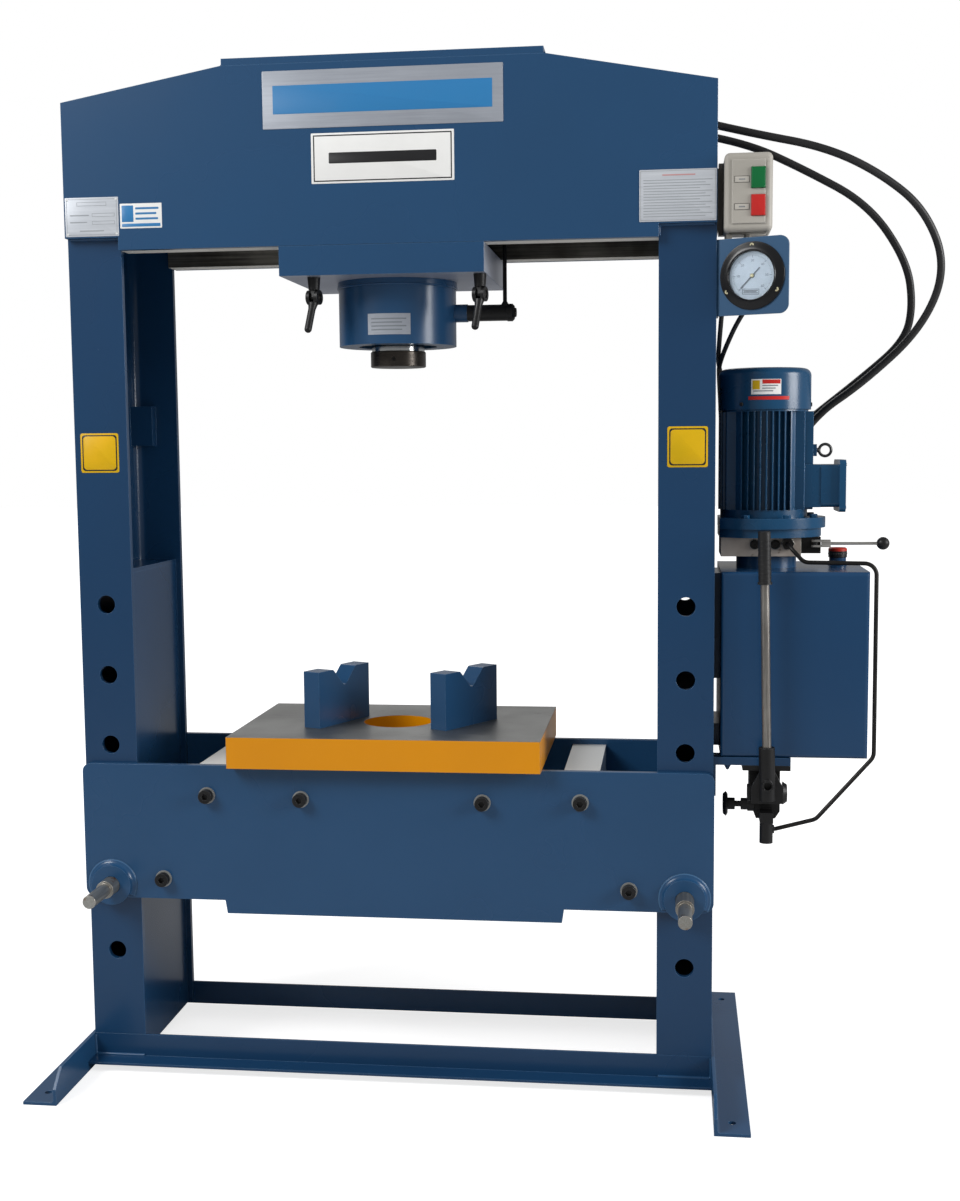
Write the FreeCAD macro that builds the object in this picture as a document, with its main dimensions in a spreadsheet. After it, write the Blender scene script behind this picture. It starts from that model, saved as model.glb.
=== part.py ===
import FreeCAD, Part
import math
import os
import Sketcher

# Workshop press: two columns, a sliding cylinder, a bed on pins, a motor pump unit.
# Millimetres.  X to the right, Y to the back, Z up.  The origin lies on the floor,
# midway between the four anchor holes of the feet.

Vector = FreeCAD.Vector
Rotation = FreeCAD.Rotation
DOC = FreeCAD.newDocument("WorkshopPress")
NODES = []

SIZES = {
    # columns: channels that open inward
    "column_half": 620.0,
    "column_flange": 106.0,
    "column_depth": 320.0,
    "channel_wall": 12.0,
    "channel_root": 20.0,
    "column_bottom": 20.0,
    "column_short": 7.0,
    "height_hole_radius": 18.0,
    "height_hole_inset": 53.0,
    "height_hole_first": 240.0,
    "height_hole_pitch": 140.0,
    "height_hole_count": 6,
    "liner_inset": 95.0,
    "liner_wall": 10.0,
    "liner_top": 1000.0,
    "liner_cap": 8.0,
    "seat_gap": 0.3,
    "stop_wide": 48.0,
    "stop_deep": 25.0,
    "stop_drop": 372.0,
    "stop_tall": 83.0,
    # head
    "head_plate": 15.0,
    "head_bottom": 1624.0,
    "head_drop": 24.0,
    "head_tall": 334.5,
    "head_slope": 56.5,
    "head_peak_half": 306.0,
    "top_plate_half": 303.5,
    "top_plate_wall": 13.0,
    "rail_clear": 3.5,
    "rail_tall": 40.0,
    # base
    "angle_bottom": 15.5,
    "angle_top": 65.0,
    "angle_wall": 5.0,
    "angle_reach": 42.0,
    "foot_leg": 66.0,
    "foot_tall": 65.0,
    "foot_wall": 6.0,
    "foot_half": 367.0,
    "foot_end_tall": 32.0,
    "foot_slope": 34.0,
    "anchor_out": 34.0,
    "anchor_y": 321.0,
    "anchor_radius": 7.0,
    # bed
    "bed_over": 2.0,
    "bed_rise": 244.0,
    "bed_sink": 27.0,
    "bed_belly": 53.5,
    "bed_step_half": 336.0,
    "bed_middle_half": 332.0,
    "bed_plate": 14.0,
    "bed_corner": 16.0,
    "bed_lower_corner": 20.0,
    "pin_boss_radius": 40.0,
    "pin_boss_out": 11.0,
    "pin_radius": 17.5,
    "pin_play": 0.5,
    "pin_front": 60.0,
    "pin_back": 40.0,
    "pin_grip_radius": 13.0,
    "pin_grip": 82.0,
    "pin_drawn": 21.0,
    "bolt_radius": 10.0,
    "bolt_play": 0.5,
    "bolt_head": 14.0,
    "bolt_cap_radius": 13.5,
    "bolt_socket": 12.0,
    "bolt_socket_deep": 7.0,
    "nut_across": 27.0,
    "washer_radius": 16.5,
    "washer_wall": 3.0,
    "outer_bolt_x": 368.0,
    "outer_bolt_rise": 184.0,
    "inner_bolt_x": 179.0,
    "inner_bolt_rise": 180.0,
    "low_bolt_in": 53.0,
    "low_bolt_rise": 14.0,
    "bar_wide": 70.0,
    "bar_tall": 98.0,
    "bar_wall": 6.0,
    "bar_rise": 233.0,
    "spacer_radius": 17.0,
    # table and blocks
    "table_left": 319.0,
    "table_right": 294.0,
    "table_depth": 406.0,
    "table_tall": 62.0,
    "table_hole_x": -14.0,
    "table_hole_radius": 70.5,
    "block_long": 170.0,
    "block_wide": 38.0,
    "block_tall": 113.0,
    "groove_middle": 86.0,
    "groove_half": 38.0,
    "groove_round": 8.0,
    "groove_margin": 1.0,
    "left_block_x": -190.7,
    "left_block_y": -82.1,
    "left_block_turn": 24.4,
    "right_block_x": 66.1,
    "right_block_y": -84.9,
    "right_block_turn": 30.0,
    # sliding carriage
    "carriage_left": 200.0,
    "carriage_right": 191.0,
    "carriage_tall": 55.5,
    "rail_play": 0.5,
    "hanger_offset": 160.0,
    "hanger_wall": 24.0,
    "hanger_clear": 10.0,
    "hanger_bar_wide": 60.0,
    "hanger_bar_clear": 5.0,
    "hanger_bar_tall": 22.0,
    "glide_pad": 3.0,
    "glide_pad_edge": 4.5,
    # cylinder and ram
    "cylinder_x": -4.0,
    "barrel_radius": 116.5,
    "barrel_drop": 125.0,
    "barrel_rise": 258.0,
    "barrel_end": 20.0,
    "bore_radius": 78.0,
    "collar_radius": 118.5,
    "collar_tall": 10.0,
    "gland_recess": 6.0,
    "gland_tall": 40.0,
    "gland_play": 0.05,
    "rod_radius": 52.5,
    "piston_play": 0.1,
    "piston_tall": 38.0,
    "piston_drop": 60.0,
    "nose_radius": 55.0,
    "nose_drop": 10.0,
    "nose_edge": 1.5,
    "nose_tall": 30.5,
    "spigot_radius": 30.0,
    "spigot_tall": 20.0,
    "set_screw_radius": 4.5,
    "set_screw_deep": 12.0,
    # pressure port of the cylinder
    "port_drop": 61.0,
    "port_boss_radius": 17.5,
    "port_boss_end": 137.0,
    "port_body_radius": 16.0,
    "port_end": 230.0,
    "port_cap_radius": 17.2,
    "port_cap_long": 14.0,
    "riser_x": 211.0,
    "riser_radius": 4.0,
    "riser_rise": 66.0,
    "riser_nut_radius": 8.8,
    "riser_nut_tall": 8.0,
    "riser_end_radius": 7.2,
    "riser_end_tall": 20.0,
    # clamps of the carriage
    "left_clamp_x": -141.0,
    "right_clamp_x": 179.0,
    "clamp_back": 20.0,
    "clamp_turn": -13.0,
    "clamp_stem_radius": 12.5,
    "clamp_stem_low": 10.5,
    "clamp_drop": 38.0,
    "clamp_hub_radius": 14.0,
    "clamp_hub_wide": 24.0,
    "clamp_slot": 10.0,
    "clamp_eye_radius": 8.0,
    "clamp_flat": 13.6,
    "clamp_pin_radius": 4.0,
    "clamp_recess_radius": 8.0,
    "clamp_recess": 3.0,
    "overlap": 1.0,
    "clamp_arm": 68.0,
    "clamp_arm_radius": 7.0,
    "clamp_flare": 12.0,
    "clamp_flare_long": 25.0,
    "clamp_lean": 25.0,
    # gauge
    "panel_turn": 22.0,
    "panel_wide": 136.6,
    "panel_wall": 4.0,
    "panel_drop": 145.0,
    "panel_tall": 139.0,
    "panel_front": 5.0,
    "panel_tab": 45.0,
    "panel_corner": 17.0,
    "gauge_in": 68.8,
    "gauge_drop": 75.1,
    "gauge_case_radius": 50.0,
    "gauge_case_deep": 55.0,
    "gauge_case_wall": 3.0,
    "bezel_radius": 61.1,
    "bezel_mouth": 43.5,
    "bezel_deep": 8.0,
    "bezel_rim": 2.5,
    "dial_wall": 1.0,
    "glass_wall": 2.0,
    "needle_long": 31.0,
    "needle_tail": 20.0,
    "needle_wide": 2.4,
    "needle_wall": 0.8,
    "needle_hub": 4.0,
    "needle_hub_tall": 2.0,
    # switch box
    "switch_out": 12.0,
    "switch_wide": 87.0,
    "switch_rise": 4.0,
    "switch_tall": 141.0,
    "switch_front": 25.0,
    "switch_deep": 85.0,
    "switch_round": 10.0,
    "switch_panel_edge": 9.0,
    "switch_panel_out": 2.5,
    "switch_base_deep": 18.0,
    "button_in": 48.2,
    "button_wide": 25.0,
    "button_tall": 37.5,
    "start_rise": 76.0,
    "stop_rise": 27.0,
    "button_play": 0.4,
    "button_deep": 12.0,
    "button_out": 2.0,
    "button_travel": 3.0,
    "bracket_wall": 4.0,
    "switch_base_inset": 3.0,
    "gland_in": 9.0,
    "gland_pitch": 35.0,
    # tank and pump unit
    "tank_out": 13.0,
    "tank_wide": 274.0,
    "tank_front": 150.0,
    "tank_back": 147.0,
    "tank_bottom": 652.0,
    "tank_tall": 353.0,
    "tank_round": 8.0,
    "tank_tab_wall": 15.0,
    "tank_tab": 45.0,
    "tank_strap_wall": 5.0,
    "tank_strap_tall": 60.0,
    "tab_screw_x": 27.0,
    "tab_screw_y": 10.5,
    "tab_screw_tip": 1.9,
    "tab_screw_radius": 7.5,
    "tab_screw_tall": 10.5,
    "upper_lug_rise": 140.0,
    "lower_lug_rise": 51.0,
    "pump_bracket_half": 45.0,
    "neck_in": 41.0,
    "neck_y": 40.0,
    "neck_radius": 16.5,
    "neck_tall": 15.0,
    "neck_spigot": 11.7,
    "neck_spigot_tall": 11.0,
    "cap_radius": 18.2,
    "cap_tall": 19.0,
    "cap_play": 0.3,
    "cap_edge": 2.4,
    "adapter_out": 104.0,
    "adapter_radius": 58.0,
    "adapter_tall": 24.0,
    "manifold_out": 14.0,
    "manifold_wide": 152.0,
    "manifold_half": 70.0,
    "manifold_tall": 37.0,
    "plug_radius": 9.5,
    "plug_out": 3.0,
    "left_plug_in": 64.0,
    "right_plug_in": 103.0,
    "plug_drop": 14.0,
    "pipe_port_in": 126.0,
    "pipe_port_drop": 12.0,
    "pipe_nut_radius": 11.0,
    "pipe_nut_out": 14.0,
    "valve_wide": 38.0,
    "valve_drop": 32.0,
    "valve_half": 56.0,
    "valve_gap": 0.5,
    "lever_pivot_in": 26.0,
    "lever_pivot_out": 12.5,
    "lever_drop": 12.0,
    "lever_pin_radius": 3.0,
    "lever_tongue": 6.0,
    "fork_tall": 14.0,
    "fork_wide": 14.0,
    "fork_end": 29.0,
    "valve_pin_out": 1.0,
    "lever_rod_radius": 3.0,
    "knob_reach": 127.0,
    "knob_radius": 12.2,
    # motor
    "motor_out": 98.0,
    "flange_radius": 119.0,
    "flange_clear": 11.0,
    "flange_low_radius": 111.0,
    "flange_low_tall": 17.0,
    "flange_tall": 20.0,
    "bell_radius": 84.0,
    "bell_tall": 15.0,
    "fin_tall": 188.0,
    "fin_core": 74.0,
    "fin_radius": 88.0,
    "fin_pitch": 11.7,
    "fin_wall": 2.6,
    "fin_side_count": 4,
    "body_rim": 4.0,
    "upper_pad_out": 91.0,
    "upper_pad_half": 42.0,
    "terminal_pad_out": 106.0,
    "terminal_pad_half": 46.0,
    "terminal_rise": 10.0,
    "terminal_tall": 82.0,
    "terminal_step": 2.0,
    "terminal_deep": 34.0,
    "terminal_lid": 12.0,
    "terminal_lid_edge": 9.0,
    "cable_gland_in": 17.0,
    "cable_gland_rise": 38.0,
    "eye_out": 11.0,
    "eye_rise": 128.5,
    "eye_ring": 11.5,
    "eye_wire": 2.8,
    "eye_shank": 4.5,
    "cowl_radius": 89.0,
    "cowl_tall": 79.0,
    "cowl_wall": 2.0,
    "cowl_round": 14.0,
    "cowl_spoke": 6.0,
    "cowl_slot_pitch": 15.0,
    "cowl_seat": 8.0,
    "shaft_radius": 10.0,
    "shaft_play": 0.06,
    "shaft_deep": 40.0,
    "fan_hub_radius": 22.0,
    "fan_blade_radius": 78.0,
    "fan_rise": 20.0,
    "fan_tall": 28.0,
    "fan_blade_root": 3.0,
    "fan_blades": 7,
    # hand pump
    "pump_out": 100.0,
    "pump_pivot_y": -150.0,
    "pump_pivot_drop": 52.0,
    "pump_pin_radius": 6.0,
    "pump_lug_half": 22.5,
    "pump_lug_wall": 7.7,
    "pump_body_front": -128.0,
    "pump_body_deep": 48.0,
    "pump_body_drop": 107.0,
    "pump_body_left": 31.0,
    "pump_body_right": 27.0,
    "pump_base_half": 18.0,
    "pump_left_rise": 34.0,
    "pump_right_rise": 14.0,
    "pump_plate_wall": 10.0,
    "pump_plate_half": 45.0,
    "pump_foot_rise": 19.0,
    "pump_foot_front": -168.0,
    "pump_barrel_radius": 12.5,
    "pump_barrel_drop": 40.0,
    "ear_wall": 7.0,
    "ear_radius": 15.0,
    "ear_gap": 0.3,
    "lug_radius": 14.0,
    "lug_root": 2.0,
    "boss_radius": 22.0,
    "small_boss_radius": 16.5,
    "boss_left_out": 6.0,
    "boss_right_out": 8.0,
    "yoke_wall": 7.5,
    "yoke_back": 7.5,
    "yoke_rise": 44.0,
    "socket_low": 7.5,
    "arm_y": -182.0,
    "socket_radius": 15.0,
    "socket_rise": 93.0,
    "tube_radius": 8.6,
    "tube_deep": 60.0,
    "lever_lean": -1.2,
    "grip_radius": 11.7,
    "grip_collar": 13.5,
    "grip_collar_tall": 4.3,
    "grip_edge": 2.2,
    "grip_rise": 400.0,
    "grip_long": 99.0,
    "side_socket_radius": 10.7,
    "side_socket_bore": 7.5,
    "side_socket_out": 21.0,
    "side_socket_deep": 14.0,
    "side_socket_rise": 23.0,
    "release_y": -120.0,
    "release_rise": 26.0,
    "release_stem": 5.7,
    "release_play": 0.1,
    "release_long": 24.0,
    "release_neck": 11.4,
    "release_collar": 13.7,
    "release_seat": 23.0,
    "release_start": 46.5,
    "release_disc": 24.0,
    "release_disc_face": 19.2,
    "release_disc_rim": 5.7,
    "release_disc_wall": 9.1,
    "release_hub": 11.4,
    "release_hub_end": 22.8,
    "release_out": 34.2,
    # pipe and hoses
    "pipe_radius": 4.0,
    "pipe_bend": 22.0,
    "hose": 15.0,
    "thin_hose": 9.0,
    "hose_exit_radius": 10.0,
    "elbow_y": 137.0,
    "elbow_drop": 18.0,
    "elbow_rise": 19.0,
    "elbow_radius": 9.0,
    "coupling_radius": 11.7,
    "coupling_long": 27.0,
    "grommet_wall": 3.0,
    "union_radius": 6.75,
    "union_out": 75.4,
    "union_in": 51.8,
    "union_drop": 24.5,
    "outer_elbow_in": 111.0,
    "inner_elbow_in": 66.0,
    "gauge_elbow_in": 21.0,
}


class Size:
    """A number together with the sheet expression that it comes from."""

    def __init__(self, number, text):
        self.number = float(number)
        self.text = text

    def __add__(self, other):
        return Size(self.number + number_of(other), f"({self.text} + {text_of(other)})")

    def __radd__(self, other):
        return Size(number_of(other) + self.number, f"({text_of(other)} + {self.text})")

    def __sub__(self, other):
        return Size(self.number - number_of(other), f"({self.text} - {text_of(other)})")

    def __rsub__(self, other):
        return Size(number_of(other) - self.number, f"({text_of(other)} - {self.text})")

    def __mul__(self, other):
        return Size(self.number * number_of(other), f"({self.text} * {text_of(other)})")

    __rmul__ = __mul__

    def __truediv__(self, other):
        return Size(self.number / number_of(other), f"({self.text} / {text_of(other)})")

    def __neg__(self):
        return Size(-self.number, f"(0 - {self.text})")


def number_of(value):
    return value.number if isinstance(value, Size) else float(value)


def text_of(value):
    return value.text if isinstance(value, Size) else f"({float(value)})"


class Sheet:
    """The driving sizes, one attribute for each cell of the spreadsheet."""


def fill_sheet():
    sheet = DOC.addObject("Spreadsheet::Sheet", "Sizes")
    named = Sheet()
    for row, (alias, number) in enumerate(SIZES.items(), start=1):
        sheet.set(f"A{row}", alias)
        sheet.set(f"B{row}", str(number))
        sheet.setAlias(f"B{row}", alias)
        setattr(named, alias, Size(number, f"Sizes.{alias}"))
    DOC.recompute()
    return named


dim = fill_sheet()


def heights_of_head():
    """The heights that follow the head, the sliding carriage included."""
    dim.head_notch = dim.head_bottom + dim.head_drop
    dim.head_peak = dim.head_bottom + dim.head_tall
    dim.head_shoulder = dim.head_peak - dim.head_slope
    dim.column_top = dim.head_shoulder - dim.column_short
    dim.carriage_bottom = dim.head_bottom - dim.rail_play - dim.carriage_tall
    dim.barrel_bottom = dim.carriage_bottom - dim.barrel_drop
    dim.barrel_top = dim.carriage_bottom + dim.barrel_rise
    dim.piston_rest = dim.barrel_top - dim.piston_drop
    dim.nose_top = dim.barrel_bottom - dim.nose_drop
    dim.port_height = dim.carriage_bottom - dim.port_drop
    dim.riser_top = dim.head_bottom + dim.riser_rise
    dim.clamp_hub_height = dim.carriage_bottom - dim.clamp_drop
    dim.stop_bottom = dim.head_bottom - dim.stop_drop
    dim.panel_bottom = dim.head_bottom - dim.panel_drop
    dim.gauge_height = dim.head_bottom - dim.gauge_drop
    dim.switch_bottom = dim.head_bottom + dim.switch_rise
    dim.start_bottom = dim.switch_bottom + dim.start_rise
    dim.stop_button_bottom = dim.switch_bottom + dim.stop_rise


def heights_of_power():
    """The heights that follow the tank: the pump unit and motor above it, the hand
    pump below it."""
    dim.tank_top = dim.tank_bottom + dim.tank_tall
    dim.upper_lug_bottom = dim.tank_bottom + dim.upper_lug_rise
    dim.lower_lug_top = dim.tank_bottom + dim.lower_lug_rise
    dim.adapter_top = dim.tank_top + dim.adapter_tall
    dim.manifold_top = dim.adapter_top + dim.manifold_tall
    dim.plug_z = dim.manifold_top - dim.plug_drop
    dim.pipe_port_z = dim.manifold_top - dim.pipe_port_drop
    dim.valve_bottom = dim.manifold_top - dim.valve_drop
    dim.lever_height = dim.manifold_top - dim.lever_drop
    dim.elbow_z = dim.manifold_top - dim.elbow_drop
    dim.elbow_top = dim.manifold_top + dim.elbow_rise
    dim.flange_step = dim.manifold_top + dim.flange_low_tall
    dim.flange_top = dim.flange_step + dim.flange_tall
    dim.fin_bottom = dim.flange_top + dim.bell_tall
    dim.fin_top = dim.fin_bottom + dim.fin_tall
    dim.body_top = dim.fin_top + dim.body_rim
    dim.terminal_bottom = dim.flange_top + dim.terminal_rise
    dim.eye_height = dim.flange_top + dim.eye_rise
    dim.cowl_top = dim.body_top + dim.cowl_tall
    dim.fan_bottom = dim.body_top + dim.fan_rise
    dim.pump_plate_top = dim.tank_bottom - dim.tank_tab_wall
    dim.pump_pivot_z = dim.pump_plate_top - dim.pump_pivot_drop
    dim.pump_body_bottom = dim.pump_plate_top - dim.pump_body_drop
    dim.pump_foot_top = dim.pump_body_bottom + dim.pump_foot_rise
    dim.pump_barrel_bottom = dim.pump_body_bottom - dim.pump_barrel_drop
    dim.release_z = dim.pump_body_bottom + dim.release_rise
    dim.socket_top = dim.pump_pivot_z + dim.socket_rise
    dim.side_socket_z = dim.pump_pivot_z + dim.side_socket_rise
    dim.grip_bottom = dim.pump_pivot_z + dim.grip_rise
    dim.grip_top = dim.grip_bottom + dim.grip_long


def places_on_frame():
    """What keeps its place against the columns and between the rails."""
    dim.column_clear = dim.column_half - dim.column_flange
    dim.height_hole_x = dim.column_half - dim.height_hole_inset
    dim.liner_x = dim.column_half - dim.liner_inset
    dim.anchor_x = dim.column_half + dim.anchor_out
    dim.bed_half = dim.column_half + dim.bed_over
    dim.low_bolt_x = dim.column_clear - dim.low_bolt_in
    dim.rail_wide = dim.column_depth / 2 - dim.barrel_radius - dim.rail_clear
    dim.hanger_half = dim.column_depth / 2 - dim.rail_wide - dim.hanger_clear
    dim.hanger_bar_half = dim.column_depth / 2 - dim.hanger_bar_clear
    dim.glide_pad_half = dim.rail_wide / 2 - dim.glide_pad_edge


def places_beside_column():
    """What hangs on the outer face of the right column."""
    dim.switch_left = dim.column_half + dim.switch_out
    dim.switch_right = dim.switch_left + dim.switch_wide
    dim.button_left = dim.switch_left + dim.button_in
    dim.tank_left = dim.column_half + dim.tank_out
    dim.tank_right = dim.tank_left + dim.tank_wide
    dim.neck_x = dim.tank_right - dim.neck_in
    dim.adapter_x = dim.column_half + dim.adapter_out
    dim.manifold_left = dim.column_half + dim.manifold_out
    dim.manifold_right = dim.manifold_left + dim.manifold_wide
    dim.left_plug_x = dim.manifold_left + dim.left_plug_in
    dim.right_plug_x = dim.manifold_left + dim.right_plug_in
    dim.pipe_port_x = dim.manifold_left + dim.pipe_port_in
    dim.outer_elbow_x = dim.manifold_left + dim.outer_elbow_in
    dim.inner_elbow_x = dim.manifold_left + dim.inner_elbow_in
    dim.gauge_elbow_x = dim.manifold_left + dim.gauge_elbow_in
    dim.valve_right = dim.manifold_right + dim.valve_wide
    dim.lever_pivot_x = dim.manifold_right + dim.lever_pivot_in
    dim.lever_pivot_y = -dim.valve_half - dim.lever_pivot_out
    dim.motor_x = dim.column_half + dim.motor_out
    dim.flange_flat = dim.column_half + dim.flange_clear
    dim.upper_pad_x = dim.motor_x + dim.upper_pad_out
    dim.terminal_pad_x = dim.motor_x + dim.terminal_pad_out
    dim.terminal_box_x = dim.terminal_pad_x + dim.terminal_deep
    dim.eye_x = dim.terminal_pad_x + dim.eye_out
    dim.pump_x = dim.column_half + dim.pump_out


def heights_of_bed():
    """The bed hangs on its pins, which sit in the second row of the column holes."""
    dim.pin_height = dim.height_hole_first + dim.height_hole_pitch
    dim.bed_top = dim.pin_height + dim.bed_rise
    dim.bed_bottom = dim.pin_height - dim.bed_sink
    dim.bed_middle_bottom = dim.pin_height - dim.bed_belly
    dim.outer_bolt_z = dim.pin_height + dim.outer_bolt_rise
    dim.inner_bolt_z = dim.pin_height + dim.inner_bolt_rise
    dim.low_bolt_z = dim.pin_height + dim.low_bolt_rise
    dim.bar_top = dim.pin_height + dim.bar_rise


places_on_frame()
places_beside_column()
heights_of_head()
heights_of_power()
heights_of_bed()

TURNS = {
    "z": Rotation(),
    "x": Rotation(Vector(0, 1, 0), 90),
    "y": Rotation(Vector(1, 0, 0), -90),
    "-x": Rotation(Vector(0, 1, 0), -90),
    "-y": Rotation(Vector(1, 0, 0), 90),
    "-z": Rotation(Vector(1, 0, 0), 180),
}


# ---------------------------------------------------------------- building helpers

def vector(at):
    return Vector(*[number_of(value) for value in at])


def bind(thing, prop, size):
    setattr(thing, prop, number_of(size))
    if isinstance(size, Size):
        thing.setExpression(prop, size.text)


def place(thing, at, turn=None):
    thing.Placement = FreeCAD.Placement(vector(at), turn or Rotation())
    for axis, value in zip("xyz", at):
        if isinstance(value, Size):
            thing.setExpression(f"Placement.Base.{axis}", value.text)
    return thing


def block(name, size, at, turn=None):
    thing = DOC.addObject("Part::Box", name)
    for prop, value in zip(("Length", "Width", "Height"), size):
        bind(thing, prop, value)
    return place(thing, at, turn)


def rod(name, radius, length, at, axis="z"):
    thing = DOC.addObject("Part::Cylinder", name)
    bind(thing, "Radius", radius)
    bind(thing, "Height", length)
    return place(thing, at, TURNS[axis])


def cone(name, low_radius, high_radius, length, at, axis="z"):
    thing = DOC.addObject("Part::Cone", name)
    bind(thing, "Radius1", low_radius)
    bind(thing, "Radius2", high_radius)
    bind(thing, "Height", length)
    return place(thing, at, TURNS[axis])


def ball(name, radius, at):
    thing = DOC.addObject("Part::Sphere", name)
    bind(thing, "Radius", radius)
    return place(thing, at)


def ring(name, middle_radius, wire_radius, at, axis="z"):
    thing = DOC.addObject("Part::Torus", name)
    bind(thing, "Radius1", middle_radius)
    bind(thing, "Radius2", wire_radius)
    return place(thing, at, TURNS[axis])


def hexagon(name, across, length, at, axis="z"):
    thing = DOC.addObject("Part::Prism", name)
    thing.Polygon = 6
    bind(thing, "Circumradius", across / math.sqrt(3.0))
    bind(thing, "Height", length)
    return place(thing, at, TURNS[axis])


def fuse(name, *pieces):
    thing = DOC.addObject("Part::MultiFuse", name)
    thing.Shapes = list(pieces)
    thing.Refine = True
    return thing


def cut(name, base, *tools):
    thing = DOC.addObject("Part::Cut", name)
    thing.Base = base
    thing.Tool = tools[0] if len(tools) == 1 else fuse(name + "_tools", *tools)
    return thing


def common(name, first, second):
    thing = DOC.addObject("Part::Common", name)
    thing.Base = first
    thing.Tool = second
    return thing


def gather(name, *pieces):
    """Separate solids that share one node."""
    thing = DOC.addObject("Part::Compound", name)
    thing.Links = list(pieces)
    return thing


def node(thing):
    """Marks a finished sub-part; its label names its file."""
    NODES.append(thing)
    return thing


def straight_along(edge, axis):
    if type(edge.Curve).__name__ not in ("Line", "LineSegment"):
        return False
    span = edge.Vertexes[-1].Point - edge.Vertexes[0].Point
    return abs(getattr(span, axis)) > 0.999 * span.Length


def at_value(edge, axis, value):
    return all(abs(getattr(v.Point, axis) - number_of(value)) < 0.01 for v in edge.Vertexes)


def soften(name, base, radius, test):
    """Rounds the edges that the test picks."""
    DOC.recompute()
    thing = DOC.addObject("Part::Fillet", name)
    thing.Base = base
    bend = number_of(radius)
    picked = [k for k, edge in enumerate(base.Shape.Edges, start=1) if test(edge)]
    thing.Edges = [(k, bend, bend) for k in picked]
    return thing


def sketch_on(owner, plane):
    drawing = owner.newObject("Sketcher::SketchObject", owner.Name + "_sketch")
    support = [item for item in owner.Origin.OriginFeatures if item.Role == plane][0]
    drawing.AttachmentSupport = [(support, "")]
    drawing.MapMode = "FlatFace"
    return drawing


def pin_point(drawing, kind, item, point, size):
    rule = Sketcher.Constraint(kind, -1, 1, item, point, number_of(size))
    index = drawing.addConstraint(rule)
    if isinstance(size, Size):
        drawing.setExpression(f"Constraints[{index}]", size.text)


def draw_outline(drawing, points):
    """A closed outline whose corners are all tied to the sheet."""
    first = drawing.GeometryCount
    count = len(points)
    corners = [Vector(number_of(u), number_of(v), 0) for u, v in points]
    for k in range(count):
        drawing.addGeometry(Part.LineSegment(corners[k], corners[(k + 1) % count]), False)
    for k in range(count):
        after = first + (k + 1) % count
        drawing.addConstraint(Sketcher.Constraint("Coincident", first + k, 2, after, 1))
    for k, (u, v) in enumerate(points):
        pin_point(drawing, "DistanceX", first + k, 1, u)
        pin_point(drawing, "DistanceY", first + k, 1, v)


def draw_circle(drawing, u, v, radius):
    centre = Vector(number_of(u), number_of(v), 0)
    item = drawing.addGeometry(Part.Circle(centre, Vector(0, 0, 1), number_of(radius)), False)
    pin_point(drawing, "DistanceX", item, 3, u)
    pin_point(drawing, "DistanceY", item, 3, v)
    index = drawing.addConstraint(Sketcher.Constraint("Radius", item, number_of(radius)))
    if isinstance(radius, Size):
        drawing.setExpression(f"Constraints[{index}]", radius.text)


def profile_pad(name, plane, outline, length, at, turn=None, holes=()):
    """An outline, with any round holes, pushed out along the normal of its plane."""
    owner = DOC.addObject("PartDesign::Body", name)
    drawing = sketch_on(owner, plane)
    draw_outline(drawing, outline)
    for u, v, radius in holes:
        draw_circle(drawing, u, v, radius)
    feature = owner.newObject("PartDesign::Pad", name + "_pad")
    feature.Profile = drawing
    bind(feature, "Length", length)
    return place(owner, at, turn)


def round_body(owner, radius, test):
    """Rounds the picked edges of a body; the test sees the body's own axes."""
    DOC.recompute()
    base = owner.Tip
    names = [f"Edge{k}" for k, edge in enumerate(base.Shape.Edges, start=1) if test(edge)]
    feature = owner.newObject("PartDesign::Fillet", f"{owner.Name}_round{len(owner.Group)}")
    feature.Base = (base, names)
    bind(feature, "Radius", radius)
    return owner


def turned(name, outline, at, axis="z"):
    """A half section turned about its own upright axis."""
    owner = DOC.addObject("PartDesign::Body", name)
    drawing = sketch_on(owner, "XZ_Plane")
    draw_outline(drawing, outline)
    feature = owner.newObject("PartDesign::Revolution", name + "_turn")
    feature.Profile = drawing
    feature.ReferenceAxis = (drawing, ["V_Axis"])
    feature.Angle = 360.0
    return place(owner, at, TURNS[axis])


def lean_rod(name, radius, start, end):
    """A round bar from one point to another."""
    first = vector(start)
    span = vector(end) - first
    thing = DOC.addObject("Part::Cylinder", name)
    bind(thing, "Radius", radius)
    thing.Height = span.Length
    thing.Placement = FreeCAD.Placement(first, Rotation(Vector(0, 0, 1), span))
    return thing


def mirrored_low(side, near, far):
    """The lower X of a stretch that lies from near to far on the given side."""
    return near if side > 0 else -far


# ---------------------------------------------------------------- columns and base

def column_channel(side, word):
    outer = side * dim.column_half
    inner = side * (dim.column_half - dim.channel_wall)
    tip = side * dim.column_clear
    half = dim.column_depth / 2
    flange = half - dim.channel_wall
    outline = [(outer, -half), (outer, half), (tip, half), (tip, flange),
               (inner, flange), (inner, -flange), (tip, -flange), (tip, -half)]
    tall = dim.column_top - dim.column_bottom
    owner = profile_pad(word + "_channel", "XY_Plane", outline, tall, (0, 0, dim.column_bottom))
    return round_body(owner, dim.channel_root,
                      lambda edge: straight_along(edge, "z") and at_value(edge, "x", inner))


def height_holes(side, word):
    holes = []
    for k in range(int(number_of(dim.height_hole_count))):
        height = dim.height_hole_first + dim.height_hole_pitch * k
        at = (side * dim.height_hole_x, -dim.column_depth, height)
        holes.append(rod(f"{word}_hole_{k}", dim.height_hole_radius, dim.column_depth * 2, at, "y"))
    return holes


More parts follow.
